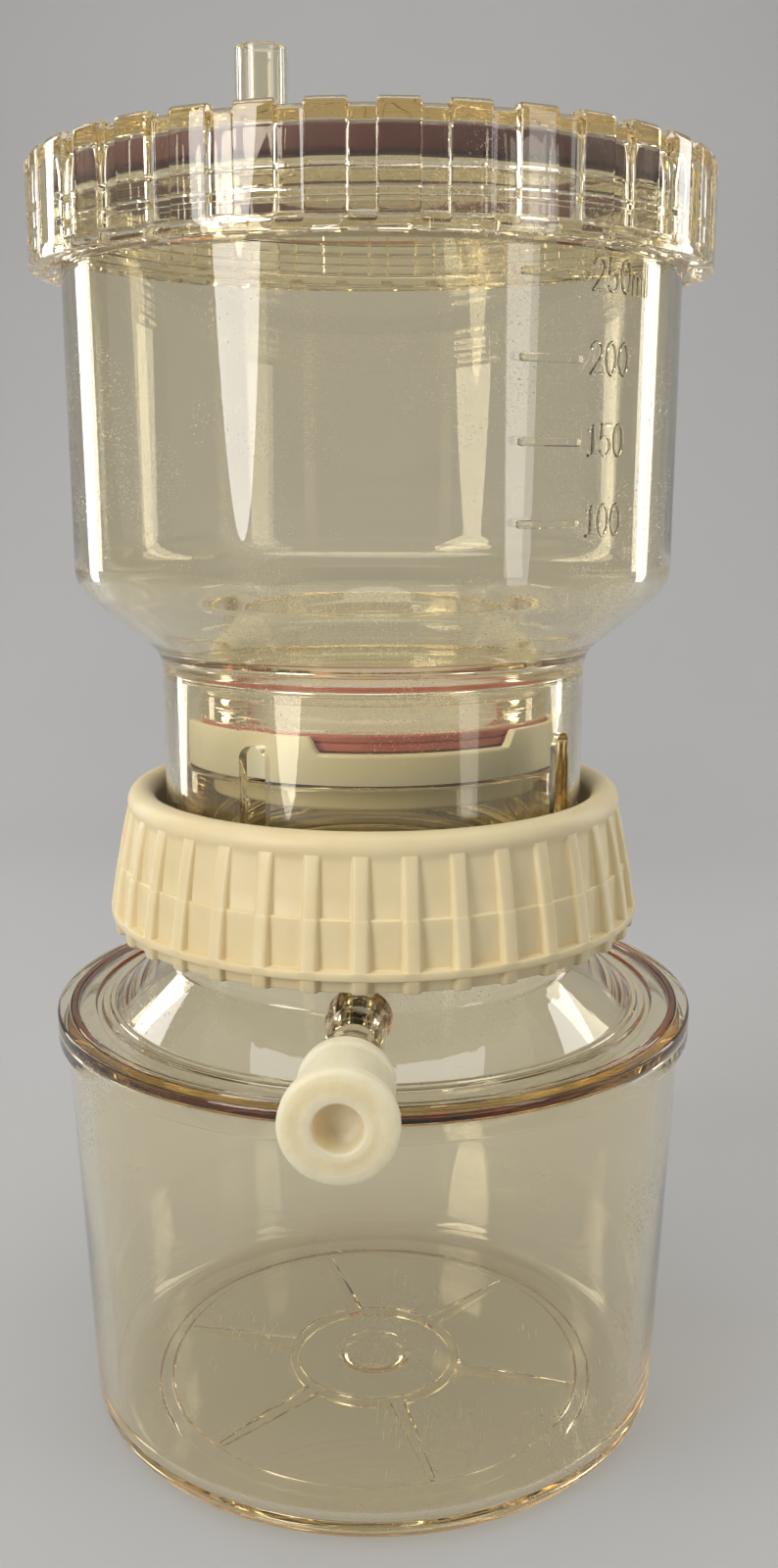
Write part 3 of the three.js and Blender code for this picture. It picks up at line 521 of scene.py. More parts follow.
def cream_plastic(name, low, high, sheen, glow):
    """Cream polypropylene: satin, a little waxy, with slow yellowing and fine moulding grain."""
    material, tree, shader, where = new_material(name)
    mottled(tree, shader, noise_at(tree, where, 55.0, 4.0, 0.6), low, high, 0.3, 0.72)
    grain = noise_at(tree, where, 1500.0, 3.0, 0.6)
    smear = noise_at(tree, where, 150.0, 4.0, 0.7)
    roughened(tree, shader, smear, sheen, sheen + 0.16, 0.3, 0.75)
    sink = node_in(tree, "Bump", {"Strength": 0.25, "Distance": 0.0004, "Height": smear})
    skin = embossed(tree, shader, grain, 0.12, 0.00004)
    tree.links.new(sink.outputs["Normal"], skin.inputs["Normal"])
    let_light_in(shader, 1.49, glow, (0.9, 0.7, 0.4), 0.0022)
    return material


# The plate's cream is its own colour made paler than the collar's, as painted light standing for the light
# that reaches it through the clear walls.
plate_cream_painted_light = cream_plastic("plate_cream_painted_light", (0.9, 0.8, 0.5), (0.96, 0.88, 0.6), 0.36, 0.15)
finished(plate, "filter_plate", plate_cream_painted_light, "receiver", "support_plate")


def silicone(name, low, high, roughness):
    """Moulded silicone: dull and dusty, with a faint mottle."""
    material, tree, shader, where = new_material(name)
    dust = noise_at(tree, where, 240.0, 5.0, 0.7)
    mottled(tree, shader, dust, low, high, 0.35, 0.7)
    roughened(tree, shader, dust, roughness, roughness + 0.2)
    embossed(tree, shader, dust, 0.2, 0.00005)
    let_light_in(shader, 1.41, 0.12, (0.8, 0.3, 0.2), 0.001)
    return material


ring_low, ring_high = (corner.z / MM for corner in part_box("neck_gasket"))
neck_ring = turned("neck_ring", filleted([
    (NECK_RING_INNER_R, ring_low, 0.3), (NECK_RING_R, ring_low, 0.3), (NECK_RING_R, ring_high, 0.3),
    (NECK_RING_INNER_R, ring_high, 0.3)]), 240)
neck_seal_red = silicone("neck_seal_red", (0.33, 0.075, 0.055), (0.43, 0.12, 0.09), 0.42)
finished(neck_ring, "neck_seal", neck_seal_red, "receiver", "neck_gasket")

disc_low, disc_high = (corner.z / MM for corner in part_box("filter_membrane"))
disc = turned("disc", filleted([
    (0, disc_low), (MEMBRANE_R, disc_low, 0.05), (MEMBRANE_R, disc_high, 0.05), (0, disc_high)]), 240)
membrane_white, felt_tree, felt_shader, felt_place = new_material("membrane_white")
pores = noise_at(felt_tree, felt_place, 2200.0, 4.0)
mottled(felt_tree, felt_shader, pores, (0.72, 0.68, 0.58), (0.9, 0.88, 0.82))
embossed(felt_tree, felt_shader, pores, 0.4, 0.00003)
felt_shader.inputs["Roughness"].default_value = 0.9
finished(disc, "membrane_disc", membrane_white, "receiver", "filter_membrane")

seal_low, seal_high = (corner.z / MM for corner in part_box("filter_gasket"))
seal_mid = (seal_low + seal_high) / 2
filter_seal = turned("filter_ring", filleted([
    (SEAL_INNER_R, seal_low, 0.35), (SEAL_R, seal_low, 0.3), (SEAL_R, seal_mid - 0.2, 0.1),
    (SEAL_R - SEAL_GROOVE, seal_mid, 0.1), (SEAL_R, seal_mid + 0.2, 0.1), (SEAL_R, seal_high, 0.3),
    (SEAL_INNER_R, seal_high, 0.35)]), 288)
filter_seal_red = silicone("filter_seal_red", (0.46, 0.13, 0.095), (0.56, 0.19, 0.145), 0.4)
finished(filter_seal, "filter_seal", filter_seal_red, "receiver", "filter_gasket")

# ---- Upper chamber ----
# The chamber is one clear moulding: a cup with the lid's fine thread round its rim, a cone, a throat
# that presses the filter, and a skirt with four slots and a bead. Bars and numbers stand up on its wall.
CHAMBER_LOW, CHAMBER_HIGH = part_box("upper_chamber")
SKIRT_FOOT = CHAMBER_LOW.z / MM
CHAMBER_RIM = CHAMBER_HIGH.z / MM
CHAMBER_RIM_R = (CHAMBER_HIGH.x - CHAMBER_LOW.x) / 2 / MM
CHAMBER_WALL = 1.8
CHAMBER_DRAFT = 0.26
CHAMBER_R = CHAMBER_RIM_R - CHAMBER_DRAFT
THROAT_FOOT = CHAMBER_RIM - 67.65
WALL_FOOT = THROAT_FOOT + 17.95
CONE_RISE = 9.7
THROAT_R = 21.7
THROAT_TOP_R = 24.3
THROAT_OUTER_R = 25.1
SKIRT_R = 30.47
SKIRT_INNER_R = 28.7
BEAD_R = 32.9
BEAD_TOP = SKIRT_FOOT + 2.8
SLOT_WIDTH = 4.25
SLOT_TOP = SKIRT_FOOT + 20.5
SLOT_AZIMUTH = -28
LID_PITCH = 3.0
RIM_THREAD_FOOT = CHAMBER_RIM - 8.4
RIM_THREAD_TOP = CHAMBER_RIM - 0.9
RIM_THREAD_DEPTH = 1.1
chamber_slope = CONE_RISE / (CHAMBER_R - SKIRT_R)
chamber_cone_wall = CHAMBER_WALL / math.cos(math.atan(chamber_slope))
cup_foot_r = CHAMBER_R - CHAMBER_WALL


def cup_inner_z(radius):
    """Height of the cone's inner face."""
    return WALL_FOOT + chamber_cone_wall - chamber_slope * (CHAMBER_R - radius)


def cup_wall_r(z):
    """The drafted wall's outer radius."""
    return CHAMBER_R + CHAMBER_DRAFT * (z - WALL_FOOT) / (CHAMBER_RIM - WALL_FOOT)


def rows(low, high, step):
    """Even heights from low to high, about one step apart."""
    count = max(1, round((high - low) / step))
    return [low + (high - low) * k / count for k in range(count + 1)]


wall_rows = [(cup_wall_r(z), z) for z in rows(WALL_FOOT + 6.0, RIM_THREAD_FOOT - 1.0, 1.2)]
chamber_below = filleted([
    (THROAT_R, THROAT_FOOT, 0.3), (THROAT_OUTER_R, THROAT_FOOT, 0.4),
    (THROAT_OUTER_R, cup_inner_z(THROAT_OUTER_R) - chamber_cone_wall, 0.8),
    (SKIRT_INNER_R, cup_inner_z(SKIRT_INNER_R) - chamber_cone_wall, 0.8),
    (SKIRT_INNER_R, SKIRT_FOOT, 0.3), (BEAD_R, SKIRT_FOOT, 0.5), (BEAD_R, BEAD_TOP, 0.4),
    (SKIRT_R, BEAD_TOP, 0.3), (SKIRT_R, WALL_FOOT - CONE_RISE, 5.0),
    (CHAMBER_R, WALL_FOOT, 5.0), *wall_rows, (cup_wall_r(RIM_THREAD_FOOT), RIM_THREAD_FOOT),
    (CHAMBER_RIM_R, CHAMBER_RIM, 0.5), (CHAMBER_RIM_R - CHAMBER_WALL, CHAMBER_RIM, 0.6),
    (cup_foot_r, cup_inner_z(cup_foot_r), 5.0), (THROAT_TOP_R, cup_inner_z(THROAT_TOP_R), 2.4)])
thread_spot = min(range(len(chamber_below)), key=lambda k: abs(chamber_below[k].y - RIM_THREAD_FOOT) +
                  abs(chamber_below[k].x - cup_wall_r(RIM_THREAD_FOOT)))


def chamber_outline(azimuth):
    """The chamber's section, with the thread standing up under its rim."""
    screw = [Vector((cup_wall_r(z) + RIM_THREAD_DEPTH * share, z)) for z, share in
             thread(azimuth, LID_PITCH, RIM_THREAD_FOOT, RIM_THREAD_FOOT, RIM_THREAD_TOP,
                    half_root=0.85, half_crest=0.5)]
    return chamber_below[:thread_spot + 1] + screw + chamber_below[thread_spot + 1:]


chamber = turned("chamber", chamber_outline, 320)


def slot_cutter(azimuth):
    """A round-topped slot through the skirt."""
    half = SLOT_WIDTH / 2
    outline = [(-half, SKIRT_FOOT - 1), (half, SKIRT_FOOT - 1)]
    for k in range(17):
        angle = math.pi * k / 16
        outline.append((half * math.cos(angle), SLOT_TOP - half + half * math.sin(angle)))

    def place(across, z, end):
        return towards(azimuth, BEAD_R + 2 if end else SKIRT_INNER_R - 2, across, z)
    return prism("slot", outline, place)


combined(chamber, [slot_cutter(SLOT_AZIMUTH + 90 * k) for k in range(4)], "DIFFERENCE")

BAR_AZIMUTHS = (27.2, 39.6)
BAR_HALF = 0.5
BAR_RELIEF = 0.35
BAR_EASE = 0.12
FIGURE_START = 41.3
FIGURE_HEIGHT = 3.9
FIGURE_RELIEF = 0.3
STROKE_HALF = 0.17
STRETCH = 1.17
MARKS = (("250ml", CHAMBER_RIM - 11.5), ("200", CHAMBER_RIM - 21.1), ("150", CHAMBER_RIM - 30.7),
         ("100", CHAMBER_RIM - 40.3))


def on_wall(azimuth, z, relief):
    """A place on the cup's outer wall, some relief above it."""
    return towards(azimuth, cup_wall_r(z) + relief, 0.0, z)


def raised(name, loops, flat):
    """A solid between three loops, each over the last, closed by flat faces on the first and the last."""
    count = len(loops[0])
    faces = [(level + k, level + (k + 1) % count, level + (k + 1) % count + count, level + k + count)
             for level in (0, count) for k in range(count)]
    faces += flat + [tuple(2 * count + k for k in face) for face in flat]
    return mesh_piece(name, loops[0] + loops[1] + loops[2], faces)


def bar(z):
    """A raised graduation bar with round ends, eased at its outer edge."""
    loops = []
    reach = math.degrees(BAR_HALF / CHAMBER_R)
    span = BAR_AZIMUTHS[1] - BAR_AZIMUTHS[0] - 2 * reach
    long_side = [(BAR_AZIMUTHS[0] + reach + span * k / 8) for k in range(1, 8)]
    for inset, relief in ((0.0, -0.4), (0.0, BAR_RELIEF - BAR_EASE), (BAR_EASE, BAR_RELIEF)):
        half = BAR_HALF - inset
        ring = []
        for azimuth, first in ((BAR_AZIMUTHS[1] - reach, -90), (BAR_AZIMUTHS[0] + reach, 90)):
            for k in range(13):
                angle = math.radians(first + 15 * k)
                ring.append((azimuth + math.degrees(half * math.cos(angle) / CHAMBER_R),
                             z + half * math.sin(angle)))
        ring = (ring[:13] + [(azimuth, z + half) for azimuth in reversed(long_side)] + ring[13:] +
                [(azimuth, z - half) for azimuth in long_side])
        loops.append([on_wall(azimuth, height, relief) for azimuth, height in ring])
    return raised("bar", loops, [tuple(range(len(loops[0])))])


def arc(centre, radii, start, end):
    """Points round part of an ellipse, with angles in degrees."""
    count = max(3, round(abs(end - start) / 24))
    return [(centre[0] + radii[0] * math.cos(math.radians(start + (end - start) * k / count)),
             centre[1] + radii[1] * math.sin(math.radians(start + (end - start) * k / count)))
            for k in range(count + 1)]


# Each figure is a few strokes in millimetres, with the width that it takes on the line.
FIGURES = {
    "0": (2.1, [arc((0.85, 1.95), (0.75, 1.85), 90, 270), arc((0.85, 1.95), (0.75, 1.85), 270, 450)]),
    "1": (1.75, [[(0.15, 3.1), (0.7, 3.8), (0.7, 0.1)], [(0.1, 0.1), (1.3, 0.1)]]),
    "2": (2.3, [arc((0.95, 2.8), (0.8, 1.0), 165, -20) + [(1.4, 1.8), (0.15, 0.1)],
                [(0.15, 0.1), (1.85, 0.1)]]),
    "5": (2.15, [[(1.6, 3.8), (0.35, 3.8)], [(0.35, 3.8), (0.25, 2.1)],
                 [(0.25, 2.1)] + arc((0.8, 1.25), (0.8, 1.15), 115, -145)]),
    "m": (2.4, [[(0.1, 0.1), (0.1, 2.3)], arc((0.55, 1.7), (0.45, 0.6), 180, 0) + [(1.0, 0.1)],
                arc((1.45, 1.7), (0.45, 0.6), 180, 0) + [(1.9, 0.1)]]),
    "l": (1.0, [[(0.2, 0.1), (0.2, 3.8)]]),
}


def raised_stroke(points, start, z):
    """One raised stroke of a figure, bent round the wall, with its edges eased."""
    loops = []
    last = len(points) - 1
    for half, relief in ((STROKE_HALF, -0.3), (STROKE_HALF, FIGURE_RELIEF - 0.08),
                         (STROKE_HALF - 0.07, FIGURE_RELIEF)):
        left, right = [], []
        for i, spot in enumerate(points):
            along = Vector(points[min(i + 1, last)]) - Vector(points[max(i - 1, 0)])
            along.normalize()
            side = Vector((-along.y, along.x)) * half
            end = along * half * ((i == last) - (i == 0))
            left.append(Vector(spot) + side + end)
            right.append(Vector(spot) - side + end)
        loops.append([on_wall(start + math.degrees(spot.x / CHAMBER_R),
                              z + spot.y - FIGURE_HEIGHT / 2 + 0.3, relief) for spot in left + right[::-1]])
    return raised("stroke", loops, [(k, k + 1, 2 * last - k, 2 * last + 1 - k) for k in range(last)])


def raised_number(words, z):
    """The plain raised figures beside a bar."""
    start = FIGURE_START
    figures = []
    for letter in words:
        width, strokes = FIGURES[letter]
        first, *others = [raised_stroke([(x * STRETCH, y) for x, y in points], start, z)
                          for points in strokes]
        figures.append(combined(first, others, "UNION"))
        start += math.degrees(width * STRETCH / CHAMBER_R)
    return figures


combined(chamber, [bar(height) for words, height in MARKS], "UNION")
combined(chamber, [figure for words, height in MARKS for figure in raised_number(words, height)], "UNION")
chamber_amber = clear_amber("chamber_amber", 1.5)
finished(chamber, "chamber_shell", chamber_amber, "chamber", "upper_chamber")

# ---- Lock collar ----
# A cream polypropylene nut with 36 grip ribs, a band round its foot and a rolled lip. A coarse thread
# inside pulls the chamber's bead down on the filter stack as it is turned.
COLLAR_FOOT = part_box("lock_collar")[0].z / MM
COLLAR_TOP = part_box("lock_collar")[1].z / MM
COLLAR_BORE_R = 33.4
COLLAR_MOUTH_R = 31.95
COLLAR_STEP = COLLAR_FOOT + 12.5
COLLAR_THREAD_DEPTH = 1.5
LIP_R = 2.05
LIP_CENTRE_R = COLLAR_MOUTH_R + LIP_R
BAND_FOOT = COLLAR_FOOT + 1.9
BAND_TOP = COLLAR_FOOT + 3.04
BAND_R = 38.9
WAIST = 85.6
RIB_COUNT = 36
RIB_AZIMUTH = 1.0
RIB_SIDES = ((0.0, 1.0), (0.7, 1.0), (1.1, 0.97), (1.4, 0.87), (1.58, 0.7), (1.72, 0.35), (1.84, 0.12),
             (2.05, 0.03), (2.35, 0.0), (3.6, 0.0))
# Up the outer side: the radius between the ribs, the radius on a rib, and the height.
COLLAR_SIDE = (
    (COLLAR_BORE_R + 0.35, COLLAR_BORE_R + 0.35, COLLAR_FOOT), (37.3, 38.2, COLLAR_FOOT),
    (37.58, 38.5, COLLAR_FOOT + 0.12), (37.7, 38.62, COLLAR_FOOT + 0.4), (37.7, 38.72, BAND_FOOT - 0.12),
    (37.75, 38.76, BAND_FOOT), (BAND_R - 0.2, BAND_R - 0.2, BAND_FOOT),
    (BAND_R - 0.05, BAND_R - 0.05, BAND_FOOT + 0.06), (BAND_R, BAND_R, BAND_FOOT + 0.2),
    (BAND_R, BAND_R, BAND_TOP - 0.2), (BAND_R - 0.05, BAND_R, BAND_TOP - 0.06),
    (BAND_R - 0.2, BAND_R - 0.01, BAND_TOP), (37.75, 38.87, BAND_TOP + 0.03),
    (37.6, 38.83, BAND_TOP + 0.15), (37.22, 38.05, WAIST - 1.4), (37.2, 37.85, WAIST - 0.4),
    (37.16, 37.78, WAIST - 0.1), (36.98, 37.74, WAIST + 0.06), (36.72, 37.72, WAIST + 0.08),
    (36.6, 37.68, WAIST + 0.25), (36.35, 37.2, WAIST + 2.9), (36.0, 36.7, WAIST + 5.2),
    (35.72, 36.25, WAIST + 7.1), (35.7, 36.12, WAIST + 7.6))


def collar_outline(azimuth, share):
    """The collar's section where the ribs stand up by a share of their height."""
    outer = [(panel + (rib - panel) * share, z) for panel, rib, z in COLLAR_SIDE]
    lip = []
    for degrees in range(-20, 191, 10):
        angle = math.radians(degrees)
        lip.append((LIP_CENTRE_R + LIP_R * math.cos(angle), COLLAR_TOP - LIP_R + LIP_R * math.sin(angle)))
    inner = [(COLLAR_MOUTH_R, COLLAR_STEP + 0.25), (COLLAR_MOUTH_R + 0.25, COLLAR_STEP),
             (COLLAR_BORE_R - 0.3, COLLAR_STEP), (COLLAR_BORE_R, COLLAR_STEP - 0.3)]
    screw = [(COLLAR_BORE_R - COLLAR_THREAD_DEPTH * depth, z) for z, depth in
             reversed(thread(azimuth, COLLAR_PITCH, BOSS_THREAD_FOOT + COLLAR_PITCH / 2, COLLAR_FOOT + 0.5,
                             COLLAR_FOOT + 9.0, half_root=1.1, half_crest=0.45))]
    return [Vector(spot) for spot in outer + lip + inner + screw]


def ribbed(name, sides, count, azimuth, outline_at, one_sided=()):
    """A turned solid whose outline changes along a repeating rib. sides holds (degrees, share) pairs from
    the rib's middle both ways, and one_sided those that lie only to its right."""
    offsets = [(-side, share) for side, share in sides] + list(sides) + list(one_sided)
    stations = {}
    for k in range(count):
        for side, share in offsets:
            stations[azimuth + 360 / count * k + side] = share
    stations[min(stations) + 360] = stations[min(stations)]
    return turned(name, lambda at: outline_at(at, stations[at]), sorted(stations))


collar = ribbed("collar", RIB_SIDES, RIB_COUNT, RIB_AZIMUTH, collar_outline)
collar_cream = cream_plastic("collar_cream", (0.79, 0.65, 0.37), (0.87, 0.75, 0.48), 0.34, 0.25)
finished(collar, "collar_nut", collar_cream, "collar", "lock_collar", 32)

# ---- Lid and its gasket ----
# The lid is a clear amber cap with 36 grip tabs, a fine thread inside, ramps that wedge it round its
# lower edge, and a vent tube through its plate. A maroon silicone ring seals it on the chamber's rim.
LID_LOW, LID_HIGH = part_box("lid")
LID_FOOT = LID_LOW.z / MM
LID_BAND_R = (LID_HIGH.x - LID_LOW.x) / 2 / MM
LID_SKIRT_R = LID_BAND_R - 1.2
LID_BORE_R = LID_BAND_R - 2.4
LID_THREAD_DEPTH = 1.0
LID_BAND_TOP = LID_FOOT + 1.8
ROOF_UNDER = LID_FOOT + 11.6
ROOF_TOP = LID_FOOT + 13.3
TAB_TOP = LID_FOOT + 13.75
TAB_ROOT_R = LID_SKIRT_R - 1.6
TAB_COUNT = 36
TAB_AZIMUTH = 7.26
TAB_SIDES = ((0.0, 1.0), (1.6, 1.0), (2.5, 1.0), (2.8, 0.97), (2.98, 0.82), (3.06, 0.4), (3.14, 0.06),
             (3.4, 0.0), (4.4, 0.0))
RAMP_START = 0.8
RAMP_TOP = 2.2
RAMP_FACE = 4.4
RAMP_REACH = 1.1
RAMP_DEPTH = 1.3
RAMP_LEAST = 0.06
VENT_X = -15.9
VENT_Y = 6.6
VENT_R = 3.75
VENT_BORE_R = 2.75
VENT_TOP = LID_HIGH.z / MM
LID_RING_R = 43.6
LID_RING_INNER_R = 37.6
# Up the outer side and in over the plate: radius and height between the tabs, then on a tab.
LID_SIDE = (
    (LID_BAND_R - 0.3, LID_FOOT, LID_BAND_R - 0.3, LID_FOOT),
    (LID_BAND_R - 0.08, LID_FOOT + 0.08, LID_BAND_R - 0.08, LID_FOOT + 0.08),
    (LID_BAND_R, LID_FOOT + 0.3, LID_BAND_R, LID_FOOT + 0.3),
    (LID_BAND_R, LID_BAND_TOP - 0.3, LID_BAND_R, LID_BAND_TOP - 0.3),
    (LID_BAND_R - 0.08, LID_BAND_TOP - 0.08, LID_BAND_R, LID_BAND_TOP - 0.08),
    (LID_BAND_R - 0.3, LID_BAND_TOP, LID_BAND_R, LID_BAND_TOP),
    (LID_SKIRT_R + 0.2, LID_BAND_TOP + 0.05, LID_BAND_R, LID_BAND_TOP + 0.05),
    (LID_SKIRT_R, LID_BAND_TOP + 0.3, LID_BAND_R, LID_BAND_TOP + 0.3),
    (LID_SKIRT_R, ROOF_TOP - 0.9, LID_BAND_R, TAB_TOP - 1.0),
    (LID_SKIRT_R - 0.02, ROOF_TOP - 0.75, LID_BAND_R - 0.08, TAB_TOP - 0.6),
    (LID_SKIRT_R - 0.06, ROOF_TOP - 0.65, LID_BAND_R - 0.3, TAB_TOP - 0.28),
    (LID_SKIRT_R - 0.12, ROOF_TOP - 0.55, LID_BAND_R - 0.6, TAB_TOP - 0.08),
    (LID_SKIRT_R - 0.2, ROOF_TOP - 0.47, LID_BAND_R - 1.0, TAB_TOP),
    (LID_SKIRT_R - 0.5, ROOF_TOP - 0.2, TAB_ROOT_R + 0.3, TAB_TOP),
    (LID_SKIRT_R - 0.7, ROOF_TOP - 0.05, TAB_ROOT_R + 0.06, TAB_TOP - 0.08),
    (LID_SKIRT_R - 1.0, ROOF_TOP, TAB_ROOT_R, TAB_TOP - 0.25),
    (TAB_ROOT_R - 0.05, ROOF_TOP, TAB_ROOT_R - 0.05, ROOF_TOP), (0.0, ROOF_TOP, 0.0, ROOF_TOP))


def ramp_height(azimuth):
    """How far a wedge notch is cut up into the lower inner edge."""
    step = 360 / TAB_COUNT
    off = (azimuth - TAB_AZIMUTH + step / 2) % step - step / 2
    if off < RAMP_START or off > RAMP_FACE:
        return 0.0
    return RAMP_DEPTH * min(1.0, (off - RAMP_START) / (RAMP_TOP - RAMP_START))


def lid_outline(azimuth, share):
    """The lid's section where a tab stands out by a share of its thickness."""
    inside = [(0.0, ROOF_UNDER), (LID_BORE_R - 0.8, ROOF_UNDER), (LID_BORE_R - 0.23, ROOF_UNDER - 0.23),
              (LID_BORE_R, ROOF_UNDER - 0.8)]
    screw = [(LID_BORE_R - LID_THREAD_DEPTH * depth, z) for z, depth in
             reversed(thread(azimuth, LID_PITCH, RIM_THREAD_FOOT + LID_PITCH / 2, RIM_THREAD_FOOT,
                             RIM_THREAD_TOP, half_root=0.6, half_crest=0.3))]
    cut = ramp_height(azimuth)
    cut_z = LID_FOOT + max(RAMP_LEAST, cut)
    cut_r = LID_BORE_R + (RAMP_REACH if cut > RAMP_LEAST else RAMP_LEAST)
    outside = [(LID_BORE_R, cut_z), (cut_r, cut_z), (cut_r, LID_FOOT)]
    outside += [(gap_r + (tab_r - gap_r) * share, gap_z + (tab_z - gap_z) * share)
                for gap_r, gap_z, tab_r, tab_z in LID_SIDE]
    return [Vector(spot) for spot in inside + screw + outside]


ramp_spots = ((RAMP_START, 1.0), (RAMP_TOP, 1.0), (RAMP_FACE - 0.02, 0.0), (RAMP_FACE + 0.02, 0.0))
lid = ribbed("lid", TAB_SIDES, TAB_COUNT, TAB_AZIMUTH, lid_outline, ramp_spots)


def at_vent(x, y, z):
    """Moves a piece made about the axis to the vent."""
    return on_axis(x + VENT_X, y + VENT_Y, z)


vent = turned("vent", filleted([
    (0, ROOF_UNDER + 0.4), (VENT_R + 0.5, ROOF_UNDER + 0.4), (VENT_R + 0.5, ROOF_TOP),
    (VENT_R, ROOF_TOP + 0.5, 0.3), (VENT_R, VENT_TOP, 0.45), (0, VENT_TOP)]), 96, at_vent)
vent_bore = turned("vent_bore", filleted([
    (0, ROOF_UNDER - 1), (VENT_BORE_R + 0.1, ROOF_UNDER - 1), (VENT_BORE_R, VENT_TOP - 0.45, 0.2),
    (VENT_BORE_R + 0.35, VENT_TOP + 0.02), (VENT_BORE_R + 0.35, VENT_TOP + 1), (0, VENT_TOP + 1)]), 96,
    at_vent)
combined(lid, [vent], "UNION")
combined(lid, [vent_bore], "DIFFERENCE")
finished(lid, "lid_cap", clear_amber("lid_amber", 1.2), "screw_lid", "lid")

gasket_low, gasket_high = (corner.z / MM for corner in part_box("lid_gasket"))
lid_ring = turned("lid_ring", filleted([
    (LID_RING_INNER_R, gasket_low, 0.7), (LID_RING_R, gasket_low, 0.7), (LID_RING_R, gasket_high, 0.5),
    (LID_RING_INNER_R, gasket_high, 0.5)]), 288)
lid_seal_maroon = silicone("lid_seal_maroon", (0.085, 0.018, 0.012), (0.125, 0.032, 0.022), 0.45)
finished(lid_ring, "lid_seal_ring", lid_seal_maroon, "lid_seal", "lid_gasket")

# ---- Port cap ----
# A soft milky plug that pushes on the side port: a round pull disc with a blind dimple, and a body with a
# rounded end lip.
CAP_LOW, CAP_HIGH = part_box("port_cap")
CAP_FACE = AXIS_Y - CAP_LOW.y / MM
CAP_REAR = AXIS_Y - CAP_HIGH.y / MM
CAP_DISC_R = (CAP_HIGH.x - CAP_LOW.x) / 2 / MM
CAP_BODY_R = 5.6
CAP_LIP_R = CAP_BODY_R + 0.3
CAP_DISC = 2.6
CAP_SOCKET = 6.7
CAP_DIMPLE = 2.9
cap = turned("cap", filleted([
    (0, CAP_REAR + CAP_SOCKET), (3.55, CAP_REAR + CAP_SOCKET, 0.3), (3.6, CAP_REAR, 0.6),
    (CAP_LIP_R, CAP_REAR, 0.8), (CAP_LIP_R, CAP_REAR + 2.2, 0.8), (CAP_BODY_R - 0.1, CAP_REAR + 2.8, 0.5),
    (CAP_BODY_R, CAP_FACE - CAP_DISC, 0.5), (CAP_DISC_R, CAP_FACE - CAP_DISC, 0.9),
    (CAP_DISC_R, CAP_FACE - 0.12, 0.9), (5.6, CAP_FACE, 0.8), (4.6, CAP_FACE - 0.16, 0.8),
    (3.9, CAP_FACE, 0.5), (3.0, CAP_FACE - 0.02, 0.35), (2.75, CAP_FACE - CAP_DIMPLE, 1.6),
    (0, CAP_FACE - CAP_DIMPLE - 0.2)]), 144, towards_port)
cap_milky, wax_tree, wax_shader, wax_place = new_material("cap_milky")
wax = noise_at(wax_tree, wax_place, 260.0, 5.0, 0.7)
mottled(wax_tree, wax_shader, wax, (0.76, 0.665, 0.455), (0.86, 0.775, 0.57), 0.3, 0.7)
roughened(wax_tree, wax_shader, wax, 0.25, 0.6)
embossed(wax_tree, wax_shader, wax, 0.25, 0.0001)
let_light_in(wax_shader, 1.45, 1.0, (1.0, 0.85, 0.6), 0.005)
finished(cap, "port_plug", cap_milky, "cap", "port_cap")

# ---- Floor, lamps and camera ----
# A pale paper sweep stands under and behind the unit, in a dim and even room. Five soft lamps light it:
# a key from the left, a weak one from the right, two narrow ones behind and a long one overhead.
FLOOR_Z = -0.00004
SWEEP_FRONT = -1.5
SWEEP_BEND = 0.35
SWEEP_R = 0.3
SWEEP_TOP = 2.4
SWEEP_HALF = 2.5
sweep_profile = [(SWEEP_FRONT, FLOOR_Z), (SWEEP_BEND, FLOOR_Z)]
for degrees in range(5, 91, 5):
    angle = math.radians(degrees)
    sweep_profile.append((SWEEP_BEND + SWEEP_R * math.sin(angle),
                          FLOOR_Z + SWEEP_R * (1 - math.cos(angle))))
sweep_profile.append((SWEEP_BEND + SWEEP_R, SWEEP_TOP))
sweep_mesh = bpy.data.meshes.new("sweep")
sweep_mesh.from_pydata([(x, y, z) for y, z in sweep_profile for x in (-SWEEP_HALF, SWEEP_HALF)], [],
                       [(2 * k, 2 * k + 1, 2 * k + 3, 2 * k + 2) for k in range(len(sweep_profile) - 1)])
sweep_mesh.polygons.foreach_set("use_smooth", [True] * len(sweep_mesh.polygons))
pale_paper, paper_tree, paper_shader, paper_place = new_material("pale_paper")
mottled(paper_tree, paper_shader, noise_at(paper_tree, paper_place, 9.0, 3.0), (0.52, 0.52, 0.52),
        (0.56, 0.56, 0.555))
paper_shader.inputs["Roughness"].default_value = 0.8
sweep_mesh.materials.append(pale_paper)
placed("sweep", sweep_mesh)


def soft_lamp(name, place, aim, size, power, colour):
    """A soft oval lamp turned towards a point, with its size in metres and its power in watts."""
    light = bpy.data.lights.new(name, "AREA")
    light.shape = "ELLIPSE"
    light.size, light.size_y = size
    light.energy = power
    light.color = colour
    lamp = placed(name, light)
    lamp.location = place
    lamp.rotation_euler = (Vector(aim) - Vector(place)).to_track_quat("-Z", "Y").to_euler()


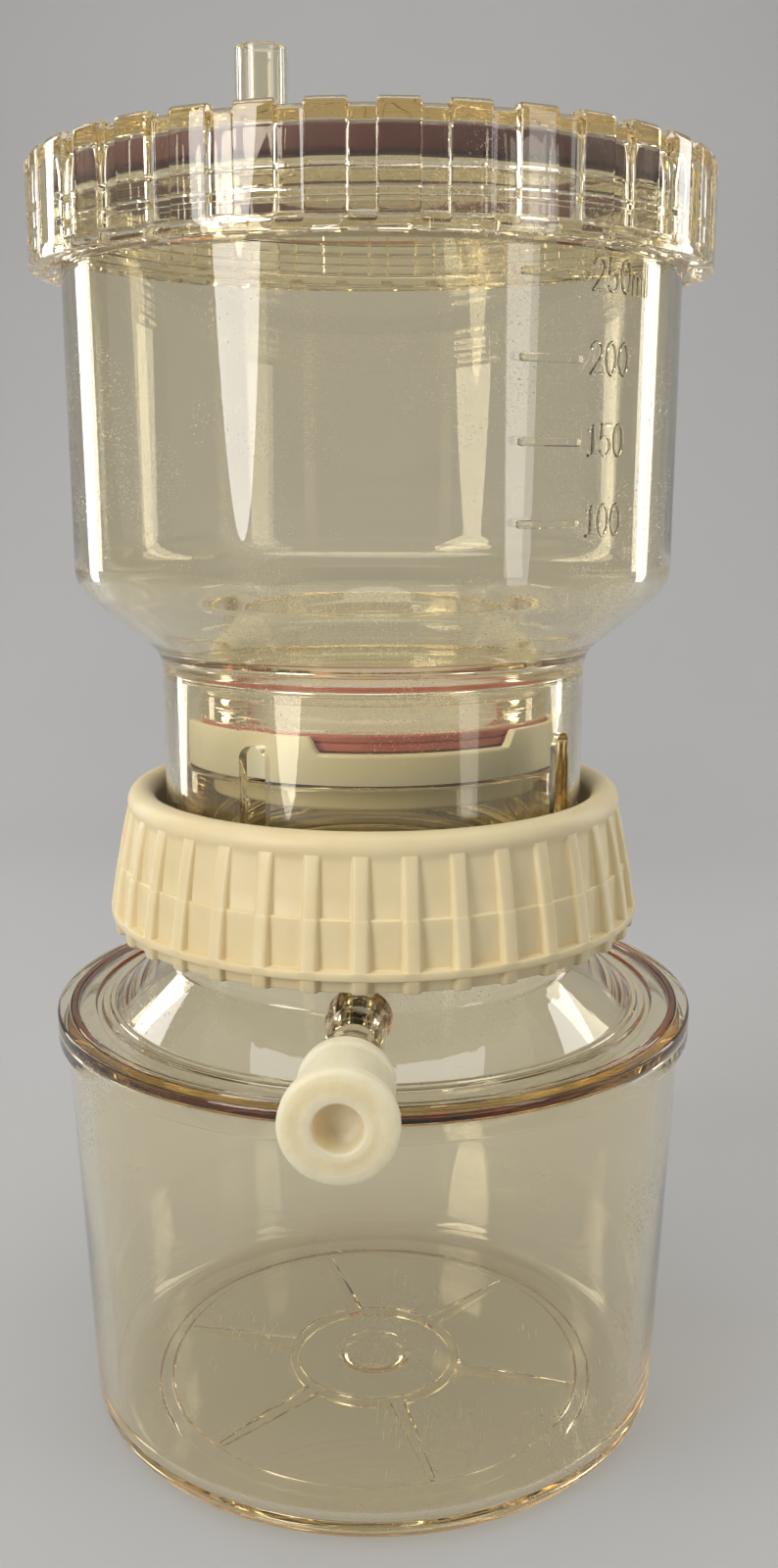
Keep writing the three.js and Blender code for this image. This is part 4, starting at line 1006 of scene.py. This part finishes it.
soft_lamp("key_lamp", (-0.52, -0.55, 0.45), (0, 0, 0.12), (0.3, 0.8), 4.4, (1.0, 0.97, 0.93))
soft_lamp("left_rim_lamp", (-0.5, 0.32, 0.28), (0, 0, 0.12), (0.12, 0.7), 1.0, (1.0, 0.98, 0.95))
soft_lamp("right_rim_lamp", (0.5, 0.3, 0.28), (0, 0, 0.12), (0.12, 0.7), 1.0, (1.0, 0.98, 0.95))
soft_lamp("right_lamp", (0.6, -0.4, 0.3), (0, 0, 0.12), (0.16, 0.8), 0.8, (1.0, 0.98, 0.95))
soft_lamp("top_lamp", (0.0, -0.1, 0.8), (0, 0.0, 0.1), (1.1, 0.3), 2.2, (1.0, 1.0, 1.0))

room = bpy.data.worlds.new("room")
room.use_nodes = True
room_tree = room.node_tree
rays = node_in(room_tree, "LightPath").outputs
seen = node_in(room_tree, "Math", {0: rays["Is Camera Ray"], 1: rays["Is Transmission Ray"]},
               operation="MAXIMUM")
shown = node_in(room_tree, "Math", {0: seen.outputs[0], 1: rays["Is Glossy Ray"]}, operation="MAXIMUM")
glow = node_in(room_tree, "MapRange", {"Value": shown.outputs[0], "To Min": 0.17, "To Max": 0.4})
room_tree.links.new(glow.outputs["Result"], room_tree.nodes["Background"].inputs["Strength"])
room_tree.nodes["Background"].inputs["Color"].default_value = (1.0, 1.0, 1.0, 1)
bpy.context.scene.world = room

eye = bpy.data.cameras.new("eye")
eye.lens = 34.81
eye.sensor_width = 36.0
eye.clip_start = 0.01
camera = placed("eye", eye)
camera.location = (0.01374, -0.21133, 0.14148)
camera.rotation_euler = Vector((-0.0508, 0.9782, -0.2041)).to_track_quat("-Z", "Y").to_euler()
bpy.context.scene.camera = camera

bpy.context.scene.view_settings.view_transform = "Standard"
cycles = bpy.context.scene.cycles
cycles.max_bounces = 26
cycles.transmission_bounces = 26
cycles.glossy_bounces = 26
cycles.transparent_max_bounces = 32
cycles.diffuse_bounces = 3
cycles.caustics_reflective = False
cycles.caustics_refractive = False
cycles.use_denoising = True
